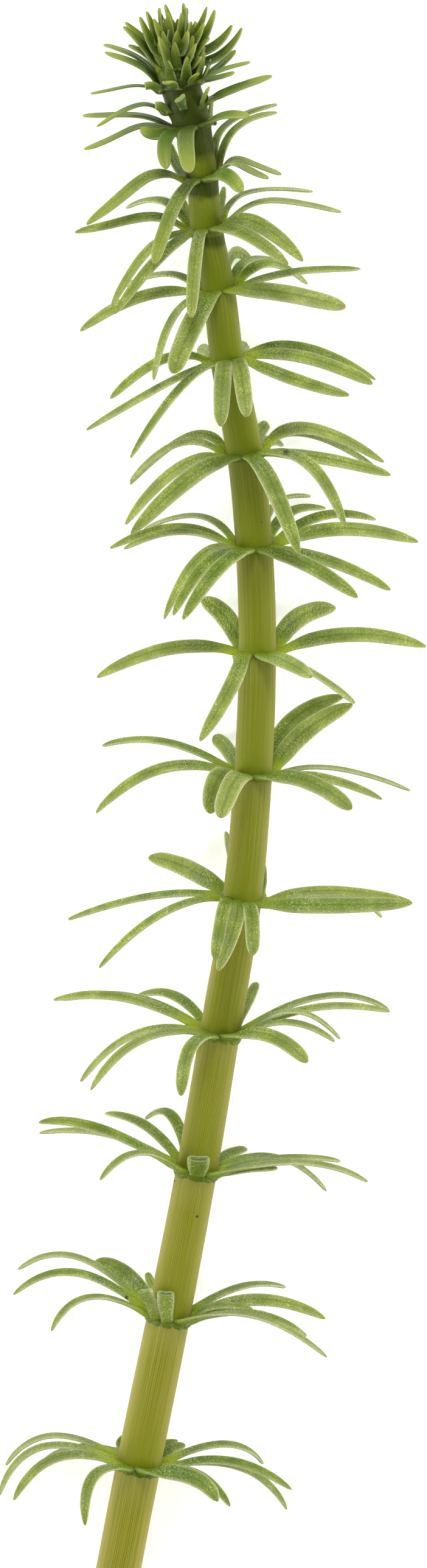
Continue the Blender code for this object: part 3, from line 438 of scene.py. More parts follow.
WHORL_16 = (
    hidden(30, (1.3, 0.7, 2.4), (2.1, 1.4, 3.4), 1.0),
    leaf(62, (4.4, 1.7, 1.8), (8.05, 2.7, 2.4), 0.8, width=1.3),
    leaf(90, (4.1, 1.0, -0.2), (6.25, 1.65, -0.8), 0.9, width=1.3),
    leaf(118, (4.3, 2.3, -2.0), (6.35, 4.3, -3.0), 1.2, width=1.5),
    hidden(150, (0.8, 0.9, -3.4), (0.8, 1.6, -5.8), 1.2),
    hidden(200, (-0.9, 0.9, -3.4), (-1.1, 1.6, -5.8), 1.3),
    leaf(232, (-5.2, 3.6, -1.8), (-8.9, 4.9, -2.6), 0.9, sway=-0.2, width=1.3),
    leaf(252, (-4.8, 2.5, -0.6), (-8.75, 3.9, -1.0), 1.1, sway=-0.15, width=1.4),
    leaf(273, (-6.2, 0.0, 0.4), (-10.4, -0.85, 0.4), 0.5, sway=-0.2, width=1.2),
    cut(298, (-3.0, 0.0, 1.2), (-4.1, -0.05, 1.4), 1.2),
    hidden(338, (-1.1, 0.3, 2.9), (-1.9, 0.2, 4.4), 1.6),
)

LOWER_WHORLS = (WHORL_01, WHORL_02, WHORL_03, WHORL_04, WHORL_05, WHORL_06, WHORL_07, WHORL_08)
UPPER_WHORLS = (WHORL_09, WHORL_10, WHORL_11, WHORL_12, WHORL_13, WHORL_14, WHORL_15, WHORL_16)
WHORLS = LOWER_WHORLS + UPPER_WHORLS


def bud(turn, mid, tip, breadth):
    """One of the young leaves that stand up round the bud, a little broader than its number."""
    return leaf(turn, mid, tip, breadth * 1.2, YOUNG, width=breadth * 1.35)


# Young leaves round the bud, from outside to inside.
OUTER_TIER = (
    bud(20, (1.2, 1.4, 2.7), (2.1, 3.2, 3.4), 1.0),
    bud(45, (1.9, 1.0, 2.2), (2.7, 1.7, 3.0), 1.0),
    bud(70, (2.3, 2.5, 1.6), (3.65, 3.9, 1.9), 1.0),
    bud(108, (4.95, 2.1, -0.9), (7.4, 5.2, -1.6), 1.4),
    bud(180, (0.0, 1.8, -3.4), (0.3, 3.6, -5.6), 1.6),
    bud(252, (-3.3, 1.9, -0.8), (-5.75, 3.2, -1.2), 1.2),
    bud(290, (-3.7, 2.75, 0.7), (-6.3, 5.25, 1.2), 1.3),
    bud(340, (-1.3, 1.7, 2.7), (-2.2, 4.0, 3.4), 1.2),
)

MIDDLE_TIER = (
    bud(10, (0.7, 3.0, 2.4), (1.1, 4.6, 3.1), 1.3),
    bud(36, (1.9, 3.4, 2.0), (3.0, 5.6, 2.4), 1.1),
    bud(62, (3.0, 4.1, 1.2), (4.25, 7.15, 1.8), 1.3),
    bud(98, (4.05, 3.0, -0.5), (6.25, 5.5, -0.7), 1.4),
    bud(150, (1.4, 3.5, -2.4), (2.0, 6.0, -3.2), 1.4),
    bud(210, (-1.6, 3.4, -2.4), (-2.4, 5.8, -3.2), 1.4),
    bud(262, (-3.5, 3.4, -0.4), (-6.1, 5.8, -0.6), 1.3),
    bud(310, (-3.1, 3.5, 1.2), (-4.35, 6.35, 1.8), 1.3),
)

INNER_TIER = (
    bud(35, (2.0, 4.4, 1.0), (3.35, 7.55, 1.4), 1.0),
    bud(85, (1.5, 4.0, -0.2), (1.9, 5.2, -0.4), 1.2),
    bud(140, (0.8, 4.5, -1.2), (0.6, 8.1, -1.6), 1.3),
    bud(195, (-0.6, 4.5, -1.1), (-1.5, 7.9, -1.4), 1.5),
    bud(245, (-1.5, 4.3, -0.8), (-2.2, 7.2, -1.2), 1.2),
    bud(290, (-2.5, 4.1, 0.4), (-3.6, 7.05, 0.5), 1.3),
    bud(315, (-1.7, 3.6, 1.5), (-2.8, 6.1, 2.2), 1.2),
    bud(340, (-0.6, 4.4, 1.3), (-1.0, 6.4, 1.6), 1.5),
)

# The same tiers with the height and the radius at which they start.
BUD_TIERS = ((0.6, 2.0, OUTER_TIER), (1.8, 1.7, MIDDLE_TIER), (2.9, 1.3, INNER_TIER))

# Short leaves that fill the bud, each row as (height, radius, length, spread, first turn, leaves).
SHEATHS = (
    (-1.7, 2.1, 4.2, 3.2, 12, 9),
    (-0.4, 1.9, 4.6, 2.9, 32, 9),
    (1.2, 1.3, 5.0, 2.2, 5, 8),
    (2.4, 0.8, 5.2, 1.5, 40, 6),
)


def sheath(turn, length, spread):
    """One of the short leaves that stand close round the bud."""
    right = math.sin(math.radians(turn))
    top = math.cos(math.radians(turn))
    reach = length * (0.85 + 0.15 * math.sin(turn * 7.3))
    mid = (right * spread * 0.86, reach * 0.5, top * spread * 0.86)
    tip = (right * spread * 1.05, reach, top * spread * 1.05)
    return leaf(turn, mid, tip, 0.0, YOUNG, width=SHEATH_WIDTH)


def place(x, y, z):
    return Vector((x, y, z)) - FOOTPRINT_MIDDLE


def along(number):
    """The direction of the stem at one of its points, towards the growing tip."""
    before = Vector(STEM_POINTS[max(number - 1, 0)][:3])
    after = Vector(STEM_POINTS[min(number + 1, len(JOINTS) + 1)][:3])
    return (after - before).normalized()


def ring_axes(direction, lean=RING_LEAN):
    """The front, right and upward axes of a ring of leaves on a stem that runs in this direction."""
    sky = Vector((0, 0, 1))
    front = (sky - direction * sky.dot(direction)).normalized()
    up = direction * math.cos(lean) + front * math.sin(lean)
    front = front * math.cos(lean) - direction * math.sin(lean)
    return front, up.cross(front), up


def outward_at(axes, turn):
    front, right = axes[:2]
    angle = math.radians(turn)
    return front * math.cos(angle) + right * math.sin(angle)


def bend(a, b, c, d, share):
    """A Catmull-Rom curve from b to c."""
    squared = share * share
    cubed = squared * share
    return 0.5 * (
        2 * b
        + (c - a) * share
        + (2 * a - 5 * b + 4 * c - d) * squared
        + (3 * b - a - 3 * c + d) * cubed
    )


def stem_at(number, share):
    """The centre and radius of the stem between one of its points and the next."""
    picks = [STEM_POINTS[min(max(number + step, 0), len(JOINTS) + 1)] for step in (-1, 0, 1, 2)]
    centre = bend(*[Vector(p[:3]) for p in picks], share)
    radius = picks[1][3] + (picks[2][3] - picks[1][3]) * share
    return centre - FOOTPRINT_MIDDLE, radius


def profile(shape, share):
    """The share of its width that a leaf has here, in straight steps between its list's values."""
    share = min(max(share, 0.0), 1.0)
    for (start, low), (end, high) in zip(shape, shape[1:]):
        if share <= end:
            step = (share - start) / (end - start)
            return low + (high - low) * step
    return shape[-1][1]


def curve_point(course, share):
    """A parabola that passes its middle point half way along, with a sideways sway."""
    start, middle, end, sway = course
    handle = middle * 2 - (start + end) / 2
    across = Vector((start.y - end.y, end.x - start.x, 0)).normalized()
    swing = across * (sway * math.sin(math.tau * share))
    return start.lerp(handle, share) * (1 - share) + handle.lerp(end, share) * share + swing


def curve_direction(course, share):
    step = 0.02
    ahead = curve_point(course, min(share + step, 1.0))
    behind = curve_point(course, share - step)
    return (ahead - behind).normalized()


def upright(side, direction):
    return (side - direction * side.dot(direction)).normalized()


def roll_of(spec, course, side):
    """How far a leaf rolls about its own length, so that it looks as broad as it should."""
    if spec["cut"] and spec["width"] <= WIDE_STUMP:
        return STUMP_ROLL
    if spec["breadth"] == 0:
        return 0.0
    for share in (0.1, 0.2, 0.3, 0.4, 0.5, 0.6):
        direction = curve_direction(course, share)
        side = upright(side, direction)
    top = direction.cross(side)
    thick = min(THICKNESS, spec["width"] * THICKNESS_SHARE)
    shown = min(max((spec["breadth"] - thick * 0.7) / spec["width"], 0.0), 0.98)
    steepest = math.hypot(top.z, side.z)
    phase = math.atan2(side.z, top.z)
    swing = math.acos(min(shown / max(steepest, 0.001), 1.0))
    rolls = [math.remainder(turn - phase, math.tau) for turn in (swing, -swing)]
    return min(rolls, key=abs)


def ease(low, high, value):
    step = min(max((value - low) / (high - low), 0.0), 1.0)
    return step * step * (3 - 2 * step)


def tube_face(bm, sides):
    """A new flat face that a leaf or stem grows from. It stays behind as the closed base."""
    ring = bmesh.ops.create_circle(bm, cap_ends=True, segments=sides, radius=MM)
    base = ring["verts"][0].link_faces[0]
    grown = bmesh.ops.extrude_face_region(bm, geom=[base], use_keep_orig=True)
    return base, next(item for item in grown["geom"] if isinstance(item, bmesh.types.BMFace))


def section_size(spec, share, crowding):
    """A leaf's width and thickness this far along it. crowding is the width of its base."""
    slimming = ease(0.0, 0.13, share)
    if spec["cut"]:
        thin = STUMP_THICKNESS if spec["width"] > WIDE_STUMP else THIN_STUMP
        width = spec["width"] * (STUMP_NECK + (1 - STUMP_NECK) * ease(0.0, 0.7, share))
        return width, BASE_THICKNESS + (thin - BASE_THICKNESS) * slimming
    thin = min(THICKNESS, spec["width"] * THICKNESS_SHARE)
    thick = BASE_THICKNESS + (thin - BASE_THICKNESS) * slimming
    width = spec["width"] * profile(spec["shape"], share)
    width = crowding + (width - crowding) * ease(0.0, 0.16, share)
    past = max(share - TIP_START, 0.0) / (1 - TIP_START)
    rounding = math.sqrt(max(1 - past ** 2, 0.0))
    thick = thick * (END_THICKNESS + (1 - END_THICKNESS) * rounding)
    return width * (END_WIDTH + (1 - END_WIDTH) * rounding ** 0.7), thick


def paint(vert, layers, **values):
    for name, value in values.items():
        vert[layers[name]] = value


def grow_leaf(bm, layers, spec, seat, look):
    """Pulls one leaf out of the stem, from a closed base inside it to its rounded tip.

    seat is its joint, its direction from there, the direction of the stem, its distance from the
    stem's axis and the width of its base. look has its tone and its dusk.
    """
    joint, outward, up, radius, crowding = seat
    side = up.cross(outward)
    start = joint + outward * radius
    course = (start, joint + spec["mid"], joint + spec["tip"], spec["sway"])
    full_roll = roll_of(spec, course, side)
    # How far the leaf points to one side. The material paints a glow of light through the bases of side
    # leaves and paints the other leaves darker as shade.
    aside = ease(0.55, 0.95, abs(math.sin(math.radians(spec["turn"]))))
    base, face = tube_face(bm, LEAF_SIDES)
    for step, share in enumerate(STATIONS):
        if share < 0:
            centre = start - outward * radius * ROOT_DEPTH
            direction = outward
        else:
            centre = curve_point(course, share)
            direction = curve_direction(course, share)
        side = upright(side, direction)
        top = direction.cross(side)
        grown = max(share, 0.0)
        roll = full_roll * min(grown / ROLL_FULL_AT, 1.0)
        across = side * math.cos(roll) + top * math.sin(roll)
        upper = top * math.cos(roll) - side * math.sin(roll)
        width, thick = section_size(spec, share, crowding)
        lowest = thick * KEEL_SHARE
        if share > 0 and centre.z < max(RESTING, lowest):
            centre.z = lowest
        for index, vert in enumerate(face.verts):
            angle = math.tau * index / LEAF_SIDES
            flat = math.cos(angle)
            lift = math.sin(angle)
            groove = GROOVE * math.exp(-((flat / GROOVE_WIDTH) ** 2)) * ease(0.02, 0.2, share)
            height = lift * thick * (1 - KEEL_SHARE - groove if lift > 0 else KEEL_SHARE)
            point = centre + across * (flat * width / 2) + upper * height
            lump = noise.noise_vector(point * 0.9 + Vector((look["tone"] * 40, 0, 0)))
            vert.co = (point + lump * WOBBLE * ease(0.0, 0.3, share)) * MM
            paint(vert, layers, along=grown, across=flat, upper=lift, aside=aside, **look)
            paint(vert, layers, dry=float(spec["cut"] and share == 1.0))
        if step == 0:
            close_base(base, face, outward, layers)
        if share < 1.0:
            face = bmesh.ops.extrude_discrete_faces(bm, faces=[face])["faces"][0]
    if spec["cut"] and spec["width"] > WIDE_STUMP:
        hollow_end(bm, face, direction)


def close_base(base, face, outward, layers):
    """Sets the closed base just behind the first section, corner by corner."""
    for low in base.verts:
        corner = next(e.other_vert(low) for e in low.link_edges if e.other_vert(low) in face.verts)
        low.co = corner.co - outward * 0.1 * MM
        for layer in layers.values():
            low[layer] = corner[layer]


def hollow_end(bm, face, direction):
    """Leaves a rim round a cut end and pushes the middle in."""
    for thickness in (RIM_WIDTH, RIM_BEVEL):
        bmesh.ops.inset_region(bm, faces=[face], thickness=thickness * MM, use_even_offset=True)
    bmesh.ops.translate(bm, verts=face.verts, vec=direction * -HOLLOW_DEPTH * MM)


def grow_lobe(bm, layers, size, seat, look):
    """The rounded lobe that hangs under a leaf's base and hugs the stem."""
    height, depth, drop = size
    joint, outward, up, radius, crowding = seat
    ball = bmesh.ops.create_uvsphere(bm, u_segments=12, v_segments=8, radius=1.0)
    side = up.cross(outward)
    middle = joint + outward * radius - up * drop
    for vert in ball["verts"]:
        x, y, z = vert.co
        fold = noise.noise(Vector((x * 2, z * 2, look["tone"] * 30))) * 0.02
        hug = outward * (y * depth - x * x * crowding * 0.12) * (1 + fold)
        vert.co = (middle + side * (x * crowding * 0.52) + hug + up * (z * height)) * MM
        # How much painted shade the lobe gets from the leaf base over it, less towards its lower end.
        lobe = 1.0 - ease(-1.0, -0.6, z) * 0.35
        paint(vert, layers, along=0.12, across=x * 0.8, upper=-0.5, lobe=lobe, **look)


def float_layers(bm, names=("along", "across", "upper", "tone", "dry", "lobe", "dusk", "aside")):
    return {name: bm.verts.layers.float.new(name) for name in names}


def tone_of(number, index):
    """A steady number from 0 to 1 for each leaf, so that neighbours differ in colour."""
    return (math.sin(number * 12.9898 + index * 78.233) * 43758.5453) % 1.0


def whorl_mesh(number):
    bm = bmesh.new()
    layers = float_layers(bm)
    joint = place(*JOINTS[number][:3])
    axes = ring_axes(along(number + 1))
    radius = JOINTS[number][3] + LEAF_START
    leaves = WHORLS[number]
    for index, spec in enumerate(leaves):
        before = leaves[index - 1]["turn"] - (360 if index == 0 else 0)
        after = leaves[(index + 1) % len(leaves)]["turn"] + (360 if index == len(leaves) - 1 else 0)
        room = math.radians(min((after - before) / 2, MOST_ROOM)) * radius
        crowding = min(room * BASE_SPREAD, WIDEST_BASE)
        outward = outward_at(axes, spec["turn"])
        look = {"tone": tone_of(number, index), "dusk": DUSK[max(number - 10, 0)]}
        grow_leaf(bm, layers, spec, (joint, outward, axes[2], radius, crowding), look)
        if number < LOBED_RINGS:
            size = LOW_LOBE if number < LOW_RINGS else LOBE
            hold = JOINTS[number][3] + LOBE_START
            grow_lobe(bm, layers, size, (joint, outward, axes[2], hold, crowding), look)
    return bm


def bud_mesh():
    bm = bmesh.new()
    layers = float_layers(bm)
    centre = place(*BUD_BASE)
    axes = ring_axes(along(len(JOINTS)))
    for tier, (height, radius, leaves) in enumerate(BUD_TIERS):
        raised = axes[2] * height
        crowding = min(math.tau * radius / len(leaves) * BASE_SPREAD, WIDEST_BUD_BASE)
        for index, spec in enumerate(leaves):
            outward = outward_at(axes, spec["turn"])
            moved = spec | {"mid": spec["mid"] - raised, "tip": spec["tip"] - raised}
            look = {"tone": tone_of(TIER_TONES + tier, index), "dusk": TIP_DUSK}
            grow_leaf(bm, layers, moved, (centre + raised, outward, axes[2], radius, crowding), look)
    for tier, (height, radius, length, spread, first, count) in enumerate(SHEATHS):
        middle = centre + axes[2] * height
        for index in range(count):
            spec = sheath(first + index * 360 / count, length, spread)
            outward = outward_at(axes, spec["turn"])
            look = {"tone": tone_of(SHEATH_TONES + tier, index), "dusk": TIP_DUSK}
            grow_leaf(bm, layers, spec, (middle, outward, axes[2], radius, SHEATH_BASE), look)
    grow_core(bm, layers, centre, axes)
    return bm


def grow_core(bm, layers, centre, axes):
    """The short core that the young leaves stand round, closed at both ends."""
    base, face = tube_face(bm, CORE_SIDES)
    for height, radius in CORE:
        if height > CORE[0][0]:
            face = bmesh.ops.extrude_discrete_faces(bm, faces=[face])["faces"][0]
        for index, vert in enumerate(face.verts):
            turn = 360 * index / CORE_SIDES
            swell = radius * (1 + 0.05 * math.cos(CORE_FOLDS * math.radians(turn)))
            vert.co = (centre + axes[2] * height + outward_at(axes, turn) * swell) * MM
            paint(vert, layers, upper=1.0, along=0.3)
        if height == CORE[0][0]:
            close_base(base, face, axes[2], layers)


def stem_rings():
    """The stem's rings from the cut end to the growing tip."""
    rings = []
    travelled = 0.0
    for number, (here, there) in enumerate(zip(STEM_POINTS, STEM_POINTS[1:])):
        length = (Vector(there[:3]) - Vector(here[:3])).length
        count = max(round(length / STEM_STEP), 3)
        for step in range(count + (number == len(JOINTS))):
            share = step / count
            centre, radius = stem_at(number, share)
            direction = along(number).lerp(along(number + 1), share).normalized()
            below = share * length
            above = (1 - share) * length
            rings.append((centre, direction, radius, number, below, above, travelled + below))
        travelled += length
    return rings


def stem_mesh():
    bm = bmesh.new()
    swatch = bm.loops.layers.uv.new("UVMap")
    layers = float_layers(bm, ("above_joint", "below_joint", "ring_of"))
    layers["slot_of"] = bm.verts.layers.int.new("slot_of")
    base, face = tube_face(bm, STEM_SIDES)
    rings = stem_rings()
    for step, (centre, direction, radius, number, below, above, travelled) in enumerate(rings):
        axes = ring_axes(direction, 0.0)
        lowest = number == 0
        topmost = number == len(JOINTS)
        near = min(FAR if lowest else below, FAR if topmost else above)
        swelling = NODE_SWELLING * math.exp(-((near / NODE_REACH) ** 2))
        ribbed = 1.0 if lowest else ease(*RIB_START, below)
        if step > 0:
            face = bmesh.ops.extrude_discrete_faces(bm, faces=[face])["faces"][0]
        for index, vert in enumerate(face.verts):
            angle = math.tau * index / STEM_SIDES + math.pi
            rib = math.cos(RIBS * angle) * RIB_DEPTH * ribbed
            spot = centre * 0.16 + Vector((math.cos(angle), math.sin(angle), 0))
            broad = noise.noise(spot) * UNEVENNESS
            outward = outward_at(axes, math.degrees(angle))
            vert.co = (centre + outward * (radius + swelling + rib + broad)) * MM
            paint(vert, layers, above_joint=FAR if lowest else below, slot_of=index)
            paint(vert, layers, below_joint=FAR if topmost else above)
            paint(vert, layers, ring_of=travelled / STEM_LENGTH)
        if step == 0:
            close_base(base, face, axes[2], layers)
    for piece in bm.faces:
        slots = [loop.vert[layers["slot_of"]] for loop in piece.loops]
        wraps = max(slots) - min(slots) > STEM_SIDES / 2
        for loop, slot in zip(piece.loops, slots):
            turn = slot + STEM_SIDES if wraps and slot < STEM_SIDES / 2 else slot
            loop[swatch].uv = (turn / STEM_SIDES, loop.vert[layers["ring_of"]])
    return bm


def new_material(name):
    material = bpy.data.materials.new(name)
    material.use_nodes = True
    tree = material.node_tree
    tree.nodes.clear()
    return material, tree


def add(tree, kind, inputs=None, **settings):
    """One node. inputs are its socket values or the sockets that feed them."""
    node = tree.nodes.new(kind)
    for name, value in settings.items():
        setattr(node, name, value)
    for key, value in (inputs or {}).items():
        if isinstance(value, bpy.types.NodeSocket):
            tree.links.new(value, node.inputs[key])
        else:
            node.inputs[key].default_value = value
    return node


def ramp(tree, factor, stops):
    """A value that follows a list of (factor, value)."""
    node = add(tree, "ShaderNodeValToRGB", {"Fac": factor})
    while len(node.color_ramp.elements) < len(stops):
        node.color_ramp.elements.new(0.5)
    for element, (where, value) in zip(node.color_ramp.elements, stops):
        element.position = where
        element.color = (value, value, value, 1)
    return node.outputs["Color"]


def rising(tree, factor, low, high):
    return ramp(tree, factor, ((low, 0.0), (high, 1.0)))


def falling(tree, factor, low, high):
    return ramp(tree, factor, ((low, 1.0), (high, 0.0)))


def math_node(tree, operation, a, b=0.0):
    return add(tree, "ShaderNodeMath", {0: a, 1: b}, operation=operation).outputs[0]


def times(tree, product, *factors):
    for factor in factors:
        product = math_node(tree, "MULTIPLY", product, factor)
    return product


def without(tree, share):
    """What is left of one when this share is taken away."""
    return math_node(tree, "SUBTRACT", 1.0, share)


def part_way(tree, value, start, end):
    """How far a value is from start to end, from 0 to 1."""
    limits = {"Value": value, "From Min": start, "From Max": end}
    return add(tree, "ShaderNodeMapRange", limits, clamp=True).outputs["Result"]


def coordinate(tree, vector, axis):
    return add(tree, "ShaderNodeSeparateXYZ", {"Vector": vector}).outputs[axis]


def mix(tree, factor, a, b):
    node = add(tree, "ShaderNodeMix", {"Factor": factor}, data_type="RGBA")
    sockets = [socket for socket in node.inputs if socket.type == "RGBA"]
    for socket, value in zip(sockets, (a, b)):
        if isinstance(value, bpy.types.NodeSocket):
            tree.links.new(value, socket)
        else:
            socket.default_value = (*value, 1)
    return next(socket for socket in node.outputs if socket.type == "RGBA")


def attribute(tree, name):
    return add(tree, "ShaderNodeAttribute", attribute_name=name).outputs["Fac"]


def noise_at(tree, where, scale, detail=2.0, rough=0.5, distortion=0.0):
    feed = {"Vector": where, "Scale": scale, "Detail": detail, "Roughness": rough}
    return add(tree, "ShaderNodeTexNoise", feed | {"Distortion": distortion}).outputs["Fac"]


def finish_material(tree, colour, bumps, rough, glow, glow_share, coat, gloss, sheen):
    """Joins a plant surface: its gloss, its bumps and the light that shines through it."""
    shader = add(tree, "ShaderNodeBsdfPrincipled", {"Base Color": colour, "Roughness": rough})
    shader.inputs["Coat Weight"].default_value = coat
    shader.inputs["Coat Roughness"].default_value = 0.26
    shader.inputs["Sheen Weight"].default_value = sheen
    shader.inputs["Sheen Roughness"].default_value = 0.35
    shader.inputs["Sheen Tint"].default_value = (1.0, 0.92, 0.56, 1)
    shader.inputs["Specular IOR Level"].default_value = gloss
    normal = None
    for height, distance, strength in bumps:
        feed = {"Height": height, "Distance": distance, "Strength": strength}
        if normal is not None:
            feed["Normal"] = normal
        normal = add(tree, "ShaderNodeBump", feed).outputs["Normal"]
    tree.links.new(normal, shader.inputs["Normal"])
    through = add(tree, "ShaderNodeBsdfTranslucent", {"Color": glow, "Normal": normal})
    shares = {"Fac": glow_share, 1: shader.outputs[0], 2: through.outputs[0]}
    both = add(tree, "ShaderNodeMixShader", shares)
    add(tree, "ShaderNodeOutputMaterial", {"Surface": both.outputs[0]})


def stretched(tree, where, scale):
    return add(tree, "ShaderNodeMapping", {"Vector": where, "Scale": scale}).outputs["Vector"]


def coated(tree, colour, coats):
    """A colour with others laid over it in turn, each with the factors of its share."""
    for coat, *factors in coats:
        colour = mix(tree, times(tree, *factors), colour, coat)
    return colour


def marked(tree, where, colour, marks, stain):
    """A colour with small ragged marks on it, seen from above."""
    level = {0: where, 1: (1.0, 1.0, 0.0)}
    flat = add(tree, "ShaderNodeVectorMath", level, operation="MULTIPLY").outputs["Vector"]
    for x, y, size in marks:
        ends = {0: flat, 1: (x * MM, y * MM, 0.0)}
        away = add(tree, "ShaderNodeVectorMath", ends, operation="DISTANCE").outputs["Value"]
        ragged = math_node(tree, "SUBTRACT", noise_at(tree, flat, 4500.0, 3.0, 0.6), 0.5)
        share = math_node(tree, "ADD", math_node(tree, "DIVIDE", away, size * MM), ragged)
        spot = ramp(tree, share, ((0.0, 1.0), (0.5, 0.85), (1.0, 0.0)))
        colour = mix(tree, spot, colour, stain)
    return colour


# Colours on the leaves.
FRESH_GREEN = (0.075, 0.165, 0.002)
SCUFF = (0.62, 0.55, 0.24)
BLOOM = (0.5, 0.54, 0.1)
YOUNG_END = (0.45, 0.5, 0.06)
# Pale margins: partly the leaf's own pale edge and partly painted rim light.
PALE_MARGIN_AND_RIM_LIGHT = (0.76, 0.75, 0.44)
# Painted glints: pale specks where highlights fall on the upper side near a leaf's base.
PAINTED_GLINT = (0.86, 0.88, 0.62)
# Painted glow of light shining through the bases of the leaves at the sides.
BACKLIT_BASE_GLOW = (0.66, 0.72, 0.03)
BROWN_TIP = (0.47, 0.32, 0.11)
DEEP_SHADE = (0.02, 0.045, 0.001)
CUT_FACE = (0.38, 0.47, 0.2)
LEAF_STAIN = (0.05, 0.02, 0.012)

# Colours on the stem.
LIME = (0.235, 0.27, 0.006)
OLIVE = (0.275, 0.265, 0.012)
CREAM = (0.52, 0.47, 0.15)
BROWN = (0.18, 0.17, 0.008)
# Painted light: the stem's two sides made paler, as if lit through from behind.
PAINTED_FLANK_LIGHT = (0.54, 0.44, 0.14)
UPPER_GREEN = (0.1, 0.165, 0.0)
DARK_BAND = (0.026, 0.042, 0.002)
STEM_GLOW = (0.5, 0.52, 0.06)
BAND_GLOW = (0.02, 0.03, 0.003)
STEM_STAIN = (0.05, 0.025, 0.01)

# Dark marks, each as (x, y, size) in millimetres.
LEAF_MARKS = ((8.3, 40.68, 0.45), (-10.04, -56.48, 0.3))
STEM_MARKS = ((-1.92, -47.1, 0.22), (-4.51, -43.04, 0.12), (0.81, -41.64, 0.14), (5.5, 32.7, 0.12))

# Stretches of the shoot, in metres from its middle: where the leaves darken on the way down, where
# the stem turns greener on the way up, and where it has dark bands.
LOW_LEAVES = (-0.03, -0.08)
STEM_CLIMB = (-0.095, 0.066)
BANDED = (0.0664, 0.0864)

# How dark the bands are along that stretch, as (share of the stretch, darkness).
FIRST_BAND = ((0.12, 0.0), (0.15, 0.75), (0.18, 0.75), (0.21, 0.0))
SECOND_BAND = ((0.39, 0.0), (0.43, 0.95), (0.52, 0.95), (0.56, 0.0))
BANDS = (*FIRST_BAND, *SECOND_BAND, (0.6, 0.0), (0.66, 1.0))


